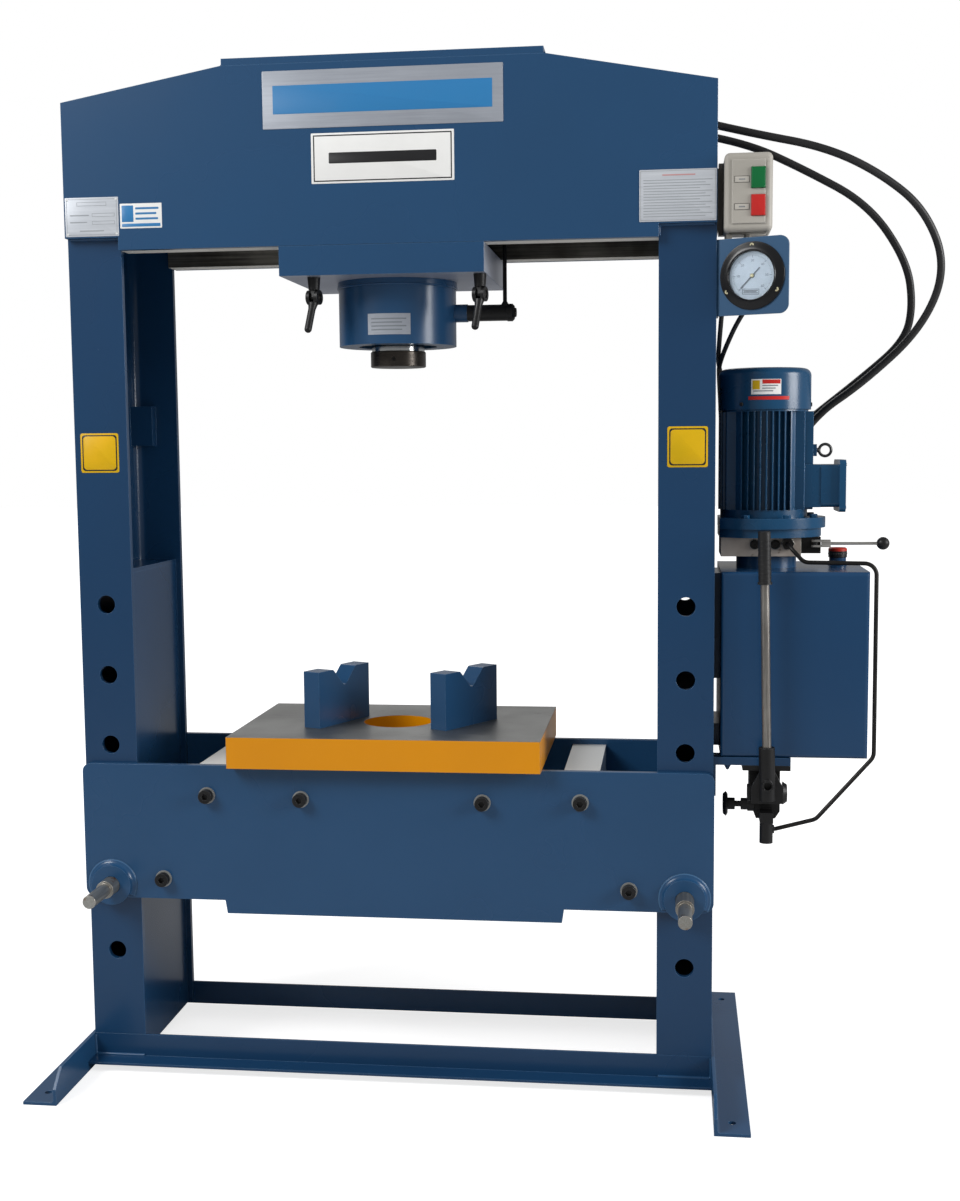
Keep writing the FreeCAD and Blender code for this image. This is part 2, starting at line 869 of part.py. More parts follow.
def base_notches(side, word):
    wide = dim.column_half - dim.column_clear
    low = mirrored_low(side, dim.column_clear, dim.column_half)
    tall = dim.angle_top - dim.column_bottom
    size = (wide, dim.angle_wall, tall)
    half = dim.column_depth / 2
    front = block(word + "_front_notch", size, (low, -half, dim.column_bottom))
    rear = block(word + "_rear_notch", size, (low, half - dim.angle_wall, dim.column_bottom))
    return [front, rear]


def column_liner(side, word):
    """The plate and cap that close the lower channel."""
    half = dim.column_depth / 2 - dim.channel_wall - dim.seat_gap
    low = mirrored_low(side, dim.liner_x, dim.liner_x + dim.liner_wall)
    tall = dim.liner_top - dim.column_bottom
    plate = block(word + "_liner", (dim.liner_wall, half * 2, tall), (low, -half, dim.column_bottom))
    web = dim.column_half - dim.channel_wall
    low = mirrored_low(side, dim.liner_x, web)
    size = (web - dim.liner_x, half * 2, dim.liner_cap)
    cap = block(word + "_cap_blank", size, (low, -half, dim.liner_top))
    root = dim.channel_root + dim.seat_gap
    cap = soften(word + "_cap", cap, root,
                 lambda edge: straight_along(edge, "z") and at_value(edge, "x", side * web))
    return [plate, cap]


def left_stop():
    """A block in the rear corner of the left channel."""
    web = dim.column_half - dim.channel_wall
    back = dim.column_depth / 2 - dim.channel_wall
    size = (dim.stop_wide, dim.stop_deep, dim.stop_tall)
    blank = block("stop_blank", size, (-web, back - dim.stop_deep, dim.stop_bottom))
    return soften("column_stop", blank, dim.channel_root + dim.seat_gap,
                  lambda edge: straight_along(edge, "z") and at_value(edge, "x", -web)
                  and at_value(edge, "y", back))


def build_columns():
    for side, word in ((-1, "left"), (1, "right")):
        tools = height_holes(side, word) + base_notches(side, word)
        if side > 0:
            tools += [rod(f"hose_exit_{name}", dim.hose_exit_radius, dim.channel_wall * 2,
                          (dim.column_half - dim.channel_wall * 1.5, y, z), "x")
                      for name, y, z in HOSE_EXITS]
        channel = cut(word + "_channel_cut", column_channel(side, word), *tools)
        extra = [left_stop()] if side < 0 else []
        node(gather(word + "_column", channel, *column_liner(side, word), *extra))


def angle_bar(name, direction):
    """A base angle; its upright leg sits in the column notches."""
    face = dim.column_depth / 2 * direction
    inside = face - dim.angle_wall * direction
    reach = face + dim.angle_reach * direction
    shelf = dim.angle_bottom + dim.angle_wall
    outline = [(inside, dim.angle_bottom), (inside, dim.angle_top), (face, dim.angle_top),
               (face, shelf), (reach, shelf), (reach, dim.angle_bottom)]
    return profile_pad(name, "YZ_Plane", outline, dim.column_half * 2, (-dim.column_half, 0, 0))


def foot(side, word):
    """A foot angle with sloping ends and two anchor holes."""
    far = dim.foot_half
    shoulder = far - dim.foot_slope
    outline = [(-far, 0), (far, 0), (far, dim.foot_end_tall), (shoulder, dim.foot_tall),
               (-shoulder, dim.foot_tall), (-far, dim.foot_end_tall)]
    wall = dim.foot_wall
    low = mirrored_low(side, dim.column_half, dim.column_half + wall)
    upright = profile_pad(word + "_foot_upright", "YZ_Plane", outline, wall, (low, 0, 0))
    low = mirrored_low(side, dim.column_half, dim.column_half + dim.foot_leg)
    shelf = block(word + "_foot_shelf", (dim.foot_leg, far * 2, wall), (low, -far, 0))
    joined = fuse(word + "_foot_blank", upright, shelf)
    inner = side * (dim.column_half + wall)
    joined = soften(word + "_foot_root", joined, wall,
                    lambda edge: straight_along(edge, "y") and at_value(edge, "x", inner)
                    and at_value(edge, "z", wall))
    holes = [rod(f"{word}_anchor_{end}", dim.anchor_radius, wall * 2,
                 (side * dim.anchor_x, end * dim.anchor_y, -wall / 2))
             for end in (-1, 1)]
    return cut(word + "_foot", joined, *holes)


def build_base():
    node(gather("base_angles", angle_bar("front_angle", -1), angle_bar("rear_angle", 1)))
    node(foot(-1, "left"))
    node(foot(1, "right"))


# ---------------------------------------------------------------- head

def head_plate(name, back):
    side = dim.column_half
    tip = dim.column_clear
    peak = dim.head_peak_half
    outline = [(-side, dim.head_notch), (-tip, dim.head_notch), (-tip, dim.head_bottom),
               (tip, dim.head_bottom), (tip, dim.head_notch), (side, dim.head_notch),
               (side, dim.head_shoulder), (peak, dim.head_peak), (-peak, dim.head_peak),
               (-side, dim.head_shoulder)]
    return profile_pad(name, "XZ_Plane", outline, dim.head_plate, (0, back, 0))


def build_head():
    half = dim.column_depth / 2
    node(head_plate("head_front_plate", -half))
    node(head_plate("head_rear_plate", half + dim.head_plate))
    deep = dim.column_depth + dim.head_plate * 2
    node(block("head_top_plate", (dim.top_plate_half * 2, deep, dim.top_plate_wall),
               (-dim.top_plate_half, -deep / 2, dim.head_peak)))
    size = (dim.column_clear * 2, dim.rail_wide, dim.rail_tall)
    front = block("front_rail", size, (-dim.column_clear, -half, dim.head_bottom))
    rear = block("rear_rail", size, (-dim.column_clear, half - dim.rail_wide, dim.head_bottom))
    node(gather("head_rails", front, rear))


# ---------------------------------------------------------------- bed

def bed_bolt_places():
    places = []
    for side in (-1, 1):
        places.append((side * dim.outer_bolt_x, dim.outer_bolt_z))
        places.append((side * dim.inner_bolt_x, dim.inner_bolt_z))
        places.append((side * dim.low_bolt_x, dim.low_bolt_z))
    return places


def bed_plate(name, direction):
    """A bed side plate with two pin bosses on its outer face."""
    side = dim.bed_half
    step = dim.bed_step_half
    middle = dim.bed_middle_half
    outline = [(-side, dim.bed_bottom), (-step, dim.bed_bottom),
               (-middle, dim.bed_middle_bottom), (middle, dim.bed_middle_bottom),
               (step, dim.bed_bottom), (side, dim.bed_bottom), (side, dim.bed_top),
               (-side, dim.bed_top)]
    hole = dim.pin_radius + dim.pin_play
    holes = [(end * dim.height_hole_x, dim.pin_height, hole) for end in (-1, 1)]
    holes += [(x, z, dim.bolt_radius + dim.bolt_play) for x, z in bed_bolt_places()]
    face = dim.column_depth / 2 * direction
    back = face if direction < 0 else face + dim.bed_plate
    plate = profile_pad(name + "_plate", "XZ_Plane", outline, dim.bed_plate, (0, back, 0),
                        holes=holes)
    round_body(plate, dim.bed_corner,
               lambda edge: straight_along(edge, "y") and at_value(edge, "z", dim.bed_top))
    round_body(plate, dim.bed_lower_corner,
               lambda edge: straight_along(edge, "y") and at_value(edge, "z", dim.bed_bottom)
               and abs(edge.Vertexes[0].Point.x) > number_of(dim.bed_half) - 1)
    outer = face + dim.bed_plate * direction
    start = outer - dim.pin_boss_out if direction < 0 else outer
    bosses = []
    for end in (-1, 1):
        outline = [(hole, 0), (dim.pin_boss_radius, 0), (dim.pin_boss_radius, dim.pin_boss_out),
                   (hole, dim.pin_boss_out)]
        bosses.append(turned(f"{name}_boss_{end + 1}", outline,
                             (end * dim.height_hole_x, start, dim.pin_height), "y"))
    return fuse(name, plate, *bosses)


def cross_bar(name, x):
    half = dim.column_depth / 2
    wide = dim.bar_wide
    wall = dim.bar_wall
    low = dim.bar_top - dim.bar_tall
    outer = block(name + "_outer", (wide, half * 2, dim.bar_tall), (x - wide / 2, -half, low))
    inner = block(name + "_inner", (wide - wall * 2, half * 4, dim.bar_tall - wall * 2),
                  (x - wide / 2 + wall, -half * 2, low + wall))
    return cut(name, outer, inner)


def bed_spacer(name, x, z):
    half = dim.column_depth / 2
    hole = dim.bolt_radius + dim.bolt_play
    outline = [(hole, 0), (dim.spacer_radius, 0), (dim.spacer_radius, half * 2), (hole, half * 2)]
    return turned(name, outline, (x, -half, z), "y")


def bed_bolt(name, x, z):
    """A through bolt with a socket head in front, a nut behind and a washer under each."""
    face = dim.column_depth / 2 + dim.bed_plate
    outer = face + dim.washer_wall
    long = outer * 2 + dim.bolt_head
    shank = rod(name + "_shank", dim.bolt_radius, long, (x, -outer, z), "y")
    wall = dim.washer_wall
    pieces = [shank]
    pieces.append(rod(name + "_head", dim.bolt_cap_radius, dim.bolt_head,
                      (x, -outer - dim.bolt_head, z), "y"))
    pieces.append(rod(name + "_washer", dim.washer_radius, wall, (x, -outer, z), "y"))
    pieces.append(rod(name + "_rear_washer", dim.washer_radius, wall, (x, face, z), "y"))
    pieces.append(hexagon(name + "_nut", dim.nut_across, dim.bolt_head, (x, outer, z), "y"))
    socket = hexagon(name + "_socket", dim.bolt_socket, dim.bolt_socket_deep * 2,
                     (x, -outer - dim.bolt_head - dim.bolt_socket_deep, z), "y")
    return cut(name, fuse(name + "_solid", *pieces), socket)


def build_bed():
    node(bed_plate("bed_front_plate", -1))
    node(bed_plate("bed_rear_plate", 1))
    bars = []
    for side in (-1, 1):
        bars.append(cross_bar(f"outer_bar_{side + 1}", side * dim.outer_bolt_x))
        bars.append(cross_bar(f"inner_bar_{side + 1}", side * dim.inner_bolt_x))
        bars.append(bed_spacer(f"low_spacer_{side + 1}", side * dim.low_bolt_x, dim.low_bolt_z))
    node(gather("bed_cross_bars", *bars))
    bolts = [bed_bolt(f"bed_bolt_{k}", x, z) for k, (x, z) in enumerate(bed_bolt_places())]
    node(gather("bed_bolts", *bolts))


def bed_pin(name, side, drawn):
    """A stepped pin through both bed plates and the column."""
    face = dim.column_depth / 2
    back = face + dim.pin_back
    long = dim.pin_front + face * 2 + dim.pin_back
    outline = [(0, 0), (dim.pin_grip_radius, 0), (dim.pin_grip_radius, dim.pin_grip),
               (dim.pin_radius, dim.pin_grip), (dim.pin_radius, dim.pin_grip + long),
               (0, dim.pin_grip + long)]
    front = back - long - dim.pin_grip
    return turned(name, outline, (side * dim.height_hole_x, front - drawn, dim.pin_height), "y")


def build_table():
    left = dim.table_left
    deep = dim.table_depth
    size = (left + dim.table_right, deep, dim.table_tall)
    slab = block("table_slab", size, (-left, -deep / 2, dim.bed_top))
    hole = rod("table_hole", dim.table_hole_radius, dim.table_tall * 2,
               (dim.table_hole_x, 0, dim.bed_top - dim.table_tall / 2))
    node(cut("table_plate", slab, hole))
    node(v_block("v_block_left", dim.left_block_x, dim.left_block_y, dim.left_block_turn))
    node(v_block("v_block_right", dim.right_block_x, dim.right_block_y, dim.right_block_turn))


def v_block(name, x, y, turn):
    """A loose block; its V groove runs across the thickness."""
    long = dim.block_long
    tall = dim.block_tall
    middle = dim.groove_middle
    half = dim.groove_half
    outline = [(0, 0), (long, 0), (long, tall), (middle + half, tall), (middle, tall - half),
               (middle - half, tall), (0, tall)]
    at = (x, y, dim.bed_top + dim.table_tall)
    owner = profile_pad(name, "YZ_Plane", outline, dim.block_wide, at,
                        Rotation(Vector(0, 0, 1), -number_of(turn)))
    margin = dim.groove_margin
    low = number_of(middle - half - margin)
    high = number_of(middle + half + margin)

    def in_groove(edge):
        first = edge.Vertexes[0].Point
        return straight_along(edge, "x") and low < first.y < high and first.z > low
    return round_body(owner, dim.groove_round, in_groove)


# ---------------------------------------------------------------- sliding cylinder

def build_carriage():
    half = dim.column_depth / 2 + dim.head_plate
    tall = dim.head_bottom - dim.rail_play - dim.carriage_bottom
    size = (dim.carriage_left + dim.carriage_right, half * 2, tall)
    slab = block("carriage_slab", size, (-dim.carriage_left, -half, dim.carriage_bottom))
    bore = rod("carriage_bore", dim.barrel_radius, tall * 2,
               (dim.cylinder_x, 0, dim.carriage_bottom - tall / 2))
    node(cut("carriage_block", slab, bore))
    node(gather("carriage_hangers", hanger("left", -1), hanger("right", 1), *glide_pads()))


def hanger(word, side):
    """A plate that rises between the rails and carries a cross bar over them."""
    x = dim.cylinder_x + side * dim.hanger_offset
    low = dim.head_bottom - dim.rail_play
    bar_low = dim.head_bottom + dim.rail_tall + dim.glide_pad
    wall = dim.hanger_wall
    plate = block(word + "_hanger_plate", (wall, dim.hanger_half * 2, bar_low - low),
                  (x - wall / 2, -dim.hanger_half, low))
    wide = dim.hanger_bar_wide
    bar = block(word + "_hanger_bar", (wide, dim.hanger_bar_half * 2, dim.hanger_bar_tall),
                (x - wide / 2, -dim.hanger_bar_half, bar_low))
    return fuse(word + "_hanger", plate, bar)


def glide_pads():
    pads = []
    wide = dim.hanger_bar_wide
    middle = dim.column_depth / 2 - dim.rail_wide / 2
    top = dim.head_bottom + dim.rail_tall
    size = (wide, dim.glide_pad_half * 2, dim.glide_pad)
    for side in (-1, 1):
        for end in (-1, 1):
            x = dim.cylinder_x + side * dim.hanger_offset - wide / 2
            y = end * middle - dim.glide_pad_half
            pads.append(block(f"glide_pad_{side + 1}{end + 1}", size, (x, y, top)))
    return pads


def build_cylinder():
    bottom = dim.barrel_bottom
    outer = dim.barrel_radius
    bore = dim.bore_radius
    tall = dim.barrel_top - bottom
    neck = dim.carriage_bottom - bottom
    collar = dim.collar_radius
    roof = tall - dim.barrel_end
    outline = [(bore, 0), (outer, 0), (outer, neck - dim.collar_tall),
               (collar, neck - dim.collar_tall), (collar, neck), (outer, neck),
               (outer, tall), (0, tall), (0, roof), (bore, roof)]
    node(turned("cylinder_barrel", outline, (dim.cylinder_x, 0, bottom)))
    hole = dim.rod_radius + dim.gland_play
    outline = [(hole, 0), (bore, 0), (bore, dim.gland_tall), (hole, dim.gland_tall)]
    node(turned("cylinder_gland", outline, (dim.cylinder_x, 0, bottom + dim.gland_recess)))


def build_port():
    x = dim.cylinder_x
    z = dim.port_height
    boss = rod("port_boss_blank", dim.port_boss_radius, dim.port_boss_end - x, (x, 0, z), "x")
    shell = rod("port_boss_trim", dim.barrel_radius, dim.port_boss_radius * 4,
                (x, 0, z - dim.port_boss_radius * 2))
    boss = cut("port_boss", boss, shell)
    long = dim.port_end - dim.port_boss_end
    outline = [(0, 0), (dim.port_body_radius, 0), (dim.port_body_radius, long - dim.port_cap_long),
               (dim.port_cap_radius, long - dim.port_cap_long),
               (dim.port_cap_radius, long - dim.riser_radius),
               (dim.port_cap_radius - dim.riser_radius, long), (0, long)]
    tank = turned("port_body", outline, (dim.port_boss_end, 0, z), "x")
    seat = z + dim.port_body_radius - dim.riser_radius / 2
    riser = rod("port_riser", dim.riser_radius, dim.riser_top - seat, (dim.riser_x, 0, seat))
    nut = cone("port_riser_nut", dim.riser_nut_radius, dim.riser_radius, dim.riser_nut_tall,
               (dim.riser_x, 0, seat))
    end = rod("port_riser_end", dim.riser_end_radius, dim.riser_end_tall,
              (dim.riser_x, 0, dim.riser_top))
    node(gather("port_cylinder", boss, fuse("port_pipework", tank, riser, nut, end)))


def build_ram():
    shaft = dim.rod_radius
    piston = dim.bore_radius - dim.piston_play
    top = dim.piston_rest + dim.piston_tall
    low = dim.nose_top
    spigot = dim.spigot_tall
    outline = [(0, 0), (dim.spigot_radius, 0), (dim.spigot_radius, spigot), (shaft, spigot),
               (shaft, dim.piston_rest - low + spigot), (piston, dim.piston_rest - low + spigot),
               (piston, top - low + spigot), (0, top - low + spigot)]
    node(turned("ram_rod", outline, (dim.cylinder_x, 0, low - spigot)))
    edge = dim.nose_edge
    tall = dim.nose_tall
    floor = tall - spigot
    outline = [(0, 0), (dim.nose_radius - edge, 0), (dim.nose_radius, edge),
               (dim.nose_radius, tall - edge), (dim.nose_radius - edge, tall),
               (dim.spigot_radius, tall), (dim.spigot_radius, floor), (0, floor)]
    nose = turned("ram_nose_turned", outline, (dim.cylinder_x, 0, low - tall))
    screw = rod("ram_nose_screw", dim.set_screw_radius, dim.set_screw_deep * 2,
                (dim.cylinder_x, -dim.nose_radius - dim.set_screw_deep, low - tall / 2), "y")
    node(cut("ram_nose", nose, screw))


def clamp_x(word):
    return dim.left_clamp_x if word == "left" else dim.right_clamp_x


def clamp_frame(thing, word):
    """Sets a clamp piece, built about its own pin, at its pin under the front rail."""
    y = -dim.column_depth / 2 + dim.clamp_back
    turn = Rotation(Vector(0, 0, 1), number_of(dim.clamp_turn))
    return place(thing, (clamp_x(word), y, dim.clamp_hub_height), turn)


def clamp_stem(word):
    """Tapered stem with a flat eye and a cross pin, built about the pin."""
    reach = dim.carriage_bottom - dim.clamp_hub_height
    foot_z = dim.clamp_hub_radius + dim.seat_gap
    taper = cone(word + "_stem_taper", dim.clamp_stem_low, dim.clamp_stem_radius,
                 reach - foot_z, (0, 0, foot_z))
    tongue = dim.clamp_slot - dim.seat_gap * 2
    flat = block(word + "_stem_flat", (tongue, dim.clamp_flat, foot_z + dim.overlap),
                 (-tongue / 2, -dim.clamp_flat / 2, 0))
    eye = rod(word + "_stem_eye", dim.clamp_eye_radius, tongue, (-tongue / 2, 0, 0), "x")
    pin_long = dim.clamp_hub_wide - dim.clamp_recess * 2
    pin = rod(word + "_stem_pin", dim.clamp_pin_radius, pin_long, (-pin_long / 2, 0, 0), "x")
    return clamp_frame(fuse(word + "_clamp_stem", taper, flat, eye, pin), word)


def clamp_lever(word):
    """Forked hub and a round handle that hangs down and forward."""
    wide = dim.clamp_hub_wide
    radius = dim.clamp_hub_radius
    hub = rod(word + "_lever_hub", radius, wide, (-wide / 2, 0, 0), "x")
    lean = math.radians(number_of(dim.clamp_lean))
    down = Vector(0, -math.sin(lean), -math.cos(lean))
    arm = lean_rod(word + "_lever_arm", dim.clamp_arm_radius, (0, 0, 0),
                   down * number_of(dim.clamp_arm))
    tip = ball(word + "_lever_tip", dim.clamp_arm_radius, down * number_of(dim.clamp_arm))
    flare = cone(word + "_lever_flare", dim.clamp_flare, dim.clamp_arm_radius,
                 dim.clamp_flare_long, (0, 0, 0))
    flare.Placement.Rotation = Rotation(Vector(0, 0, 1), down)
    solid = fuse(word + "_lever_blank", hub, arm, tip, flare)
    slot = block(word + "_lever_slot", (dim.clamp_slot, radius * 4, radius * 2),
                 (-dim.clamp_slot / 2, -radius * 2, -dim.clamp_eye_radius - dim.overlap))
    hole = rod(word + "_lever_hole", dim.clamp_pin_radius + dim.release_play, wide * 2,
               (-wide, 0, 0), "x")
    recess = [rod(f"{word}_lever_recess_{end}", dim.clamp_recess_radius, dim.clamp_recess, at, "x")
              for end, at in (("a", (-wide / 2, 0, 0)),
                              ("b", (wide / 2 - dim.clamp_recess, 0, 0)))]
    return clamp_frame(cut(word + "_clamp_lever", solid, slot, hole, *recess), word)


def build_clamps():
    node(gather("clamp_stems", clamp_stem("left"), clamp_stem("right")))
    node(clamp_lever("left"))
    node(clamp_lever("right"))


# ---------------------------------------------------------------- gauge

def panel_frame(thing, lift=None):
    """Sets a gauge piece, built about the middle of the panel's front face.
    Its own Z points out of the panel, its own Y up and its own X along the panel."""
    angle = math.radians(number_of(dim.panel_turn))
    along = Vector(math.cos(angle), -math.sin(angle), 0)
    outward = Vector(-math.sin(angle), -math.cos(angle), 0)
    edge = vector((dim.column_half, -dim.column_depth / 2 + dim.panel_front, dim.gauge_height))
    centre = edge + along * number_of(dim.gauge_in) + outward * number_of(lift or 0)
    turn = Rotation(along, Vector(0, 0, 1), outward, "XZY")
    thing.Placement = FreeCAD.Placement(centre, turn)
    return thing


def build_gauge():
    wall = dim.panel_wall
    low = dim.panel_bottom - dim.gauge_height
    size = (dim.panel_wide, dim.panel_tall, wall)
    sheet = block("panel_sheet", size, (-dim.gauge_in, low, -wall))
    right = dim.panel_wide - dim.gauge_in
    sheet = soften("panel_round", sheet, dim.panel_corner,
                   lambda edge: straight_along(edge, "z") and at_value(edge, "x", right))
    hole = rod("panel_hole", dim.gauge_case_radius + dim.seat_gap, wall * 4, (0, 0, -wall * 2))
    sheet = panel_frame(cut("panel_pierced", sheet, hole))
    tab = block("panel_tab", (wall, dim.panel_tab, dim.panel_tall),
                (dim.column_half, -dim.column_depth / 2 + dim.panel_front, dim.panel_bottom))
    node(fuse("gauge_panel", sheet, tab))
    build_gauge_case()


def build_gauge_case():
    mouth = dim.bezel_mouth
    deep = dim.gauge_case_deep
    wall = dim.gauge_case_wall
    case = dim.gauge_case_radius
    inner = case - wall
    step = inner - mouth
    outline = [(0, -deep), (case, -deep), (case, 0), (dim.bezel_radius, 0),
               (dim.bezel_radius, dim.bezel_rim), (mouth + step, dim.bezel_deep),
               (mouth, dim.bezel_deep), (mouth, 0), (inner, 0), (inner, wall - deep),
               (0, wall - deep)]
    node(panel_frame(turned("gauge_case", outline, (0, 0, 0))))
    node(panel_frame(rod("gauge_dial", mouth + step / 2, dim.dial_wall, (0, 0, 0)),
                     -dim.dial_wall))
    glass_seat = dim.bezel_deep - dim.glass_wall
    node(panel_frame(rod("gauge_glass", mouth, dim.glass_wall, (0, 0, 0)), glass_seat))
    wide = dim.needle_wide
    long = dim.needle_long + dim.needle_tail
    bar = block("needle_bar", (long, wide, dim.needle_wall),
                (-dim.needle_tail, -wide / 2, dim.needle_wall))
    hub = rod("needle_hub", dim.needle_hub, dim.needle_hub_tall, (0, 0, 0))
    needle = fuse("gauge_needle", bar, hub)
    panel_frame(needle)
    spin = Rotation(Vector(0, 0, 1), NEEDLE_REST)
    needle.Placement.Rotation = needle.Placement.Rotation.multiply(spin)
    node(needle)


# ---------------------------------------------------------------- switch box

def build_switch_box():
    left = dim.switch_left
    wide = dim.switch_right - left
    face = -dim.column_depth / 2 - dim.switch_front
    blank = block("switch_blank", (wide, dim.switch_deep, dim.switch_tall),
                  (left, face, dim.switch_bottom))
    back = face + dim.switch_deep
    shell = soften("switch_shell", blank, dim.switch_round,
                   lambda edge: not at_value(edge, "y", back))
    edge = dim.switch_panel_edge + dim.switch_round / 2
    out = dim.switch_panel_out
    raised = block("switch_raised", (wide - edge * 2, out * 2, dim.switch_tall - edge * 2),
                   (left + edge, face - out, dim.switch_bottom + edge))
    pockets = [block(f"switch_pocket_{k}",
                     (dim.button_wide + dim.button_play * 2, dim.button_deep * 2,
                      dim.button_tall + dim.button_play * 2),
                     (dim.button_left - dim.button_play, face - dim.button_deep,
                      low - dim.button_play))
               for k, low in enumerate((dim.start_bottom, dim.stop_button_bottom))]
    node(cut("switch_box_cover", fuse("switch_front", shell, raised), *pockets))
    for name, low in (("start_button", dim.start_bottom), ("stop_button", dim.stop_button_bottom)):
        front = face - out - dim.button_out
        deep = dim.button_deep + out + dim.button_out - dim.button_travel - dim.seat_gap
        node(block(name, (dim.button_wide, deep, dim.button_tall), (dim.button_left, front, low)))
    build_switch_base(back)


def build_switch_base(face):
    """The dark base behind the cover, its wall bracket and the two cable glands."""
    wall = dim.bracket_wall
    left = dim.column_half + wall
    edge = dim.switch_panel_edge
    wide = dim.switch_right - dim.switch_base_inset - left
    tall = dim.switch_tall - edge
    low = dim.switch_bottom + edge / 2
    base = block("switch_base", (wide, dim.switch_base_deep, tall), (left, face, low))
    bracket = block("switch_bracket", (wall, dim.panel_tab * 2, tall - edge * 2),
                    (dim.column_half, face, low + edge))
    glands = []
    first = dim.switch_left + dim.gland_in
    for name, x in (("left", first), ("right", first + dim.gland_pitch)):
        top = dim.switch_bottom
        y = face - dim.switch_deep / 2
        glands.append(hexagon(f"{name}_gland", dim.button_deep, dim.button_deep,
                              (x, y, top - dim.button_deep)))
    node(gather("switch_box_base", base, bracket, *glands))


# ---------------------------------------------------------------- tank and pump unit

def build_tank():
    left = dim.tank_left
    size = (dim.tank_right - left, dim.tank_front + dim.tank_back, dim.tank_top - dim.tank_bottom)
    blank = block("tank_blank", size, (left, -dim.tank_front, dim.tank_bottom))
    shell = soften("tank_shell", blank, dim.tank_round,
                   lambda edge: straight_along(edge, "z") or straight_along(edge, "x"))
    neck_at = (dim.neck_x, dim.neck_y, dim.tank_top - dim.tank_round)
    neck = rod("tank_neck", dim.neck_radius, dim.neck_tall + dim.tank_round, neck_at)
    spigot = rod("tank_neck_spigot", dim.neck_spigot, dim.neck_tall + dim.neck_spigot_tall,
                 (dim.neck_x, dim.neck_y, dim.tank_top))
    node(fuse("oil_tank", shell, neck, spigot, *tank_lugs(), *tank_brackets()))
    build_filler_cap()


def tank_lugs():
    """Two plates that hold the tank off the column, with a slit between them."""
    wide = dim.tank_left - dim.column_half + dim.tank_round
    low = dim.tank_bottom + dim.tank_round
    high = dim.tank_top - dim.tank_round
    pairs = ((low, dim.lower_lug_top), (dim.upper_lug_bottom, high))
    return [block(f"tank_lug_{k}", (wide, dim.manifold_half * 2, top - bottom),
                  (dim.column_half, -dim.manifold_half, bottom))
            for k, (bottom, top) in enumerate(pairs)]


def tank_brackets():
    """Under the tank: a tab with its strap and screw, and the plate of the hand pump."""
    wall = dim.tank_tab_wall
    front = -dim.tank_front
    under = dim.tank_bottom - wall
    edge = dim.pump_x - dim.pump_bracket_half
    tab = block("tank_tab", (edge - dim.column_half, dim.tank_tab, wall),
                (dim.column_half, front, under))
    strap = block("tank_strap", (dim.tank_strap_wall, dim.tank_tab, dim.tank_strap_tall),
                  (dim.column_half, front, under - dim.tank_strap_tall))
    screw = cone("tank_tab_screw", dim.tab_screw_tip, dim.tab_screw_radius, dim.tab_screw_tall,
                 (dim.column_half + dim.tab_screw_x, front + dim.tab_screw_y,
                  under - dim.tab_screw_tall))
    plate = block("pump_hanger", (dim.pump_bracket_half * 2, dim.tank_front / 2, wall),
                  (edge, front, under))
    return [tab, strap, screw, plate]


def build_filler_cap():
    inner = dim.neck_spigot + dim.cap_play
    hollow = dim.neck_spigot_tall + dim.cap_play
    tall = dim.cap_tall
    edge = dim.cap_edge
    radius = dim.cap_radius
    outline = [(inner, 0), (radius, 0), (radius, tall - edge), (radius - edge, tall),
               (0, tall), (0, hollow), (inner, hollow)]
    z = dim.tank_top + dim.neck_tall + dim.seat_gap
    node(turned("filler_cap", outline, (dim.neck_x, dim.neck_y, z)))


def build_manifold():
    node(rod("pump_adapter", dim.adapter_radius, dim.adapter_top - dim.tank_top,
             (dim.adapter_x, 0, dim.tank_top)))
    left = dim.manifold_left
    half = dim.manifold_half
    tall = dim.manifold_top - dim.adapter_top
    body = block("manifold_body", (dim.manifold_right - left, half * 2, tall),
                 (left, -half, dim.adapter_top))
    plugs = [rod(f"manifold_plug_{k}", dim.plug_radius, dim.plug_out * 2,
                 (x, -half - dim.plug_out, dim.plug_z), "y")
             for k, x in enumerate((dim.left_plug_x, dim.right_plug_x))]
    nut = hexagon("manifold_pipe_nut", dim.pipe_nut_radius * 2, dim.pipe_nut_out,
                  (dim.pipe_port_x, -half - dim.pipe_nut_out, dim.pipe_port_z), "y")
    node(gather("manifold_block", fuse("manifold_plugged", body, *plugs), nut))


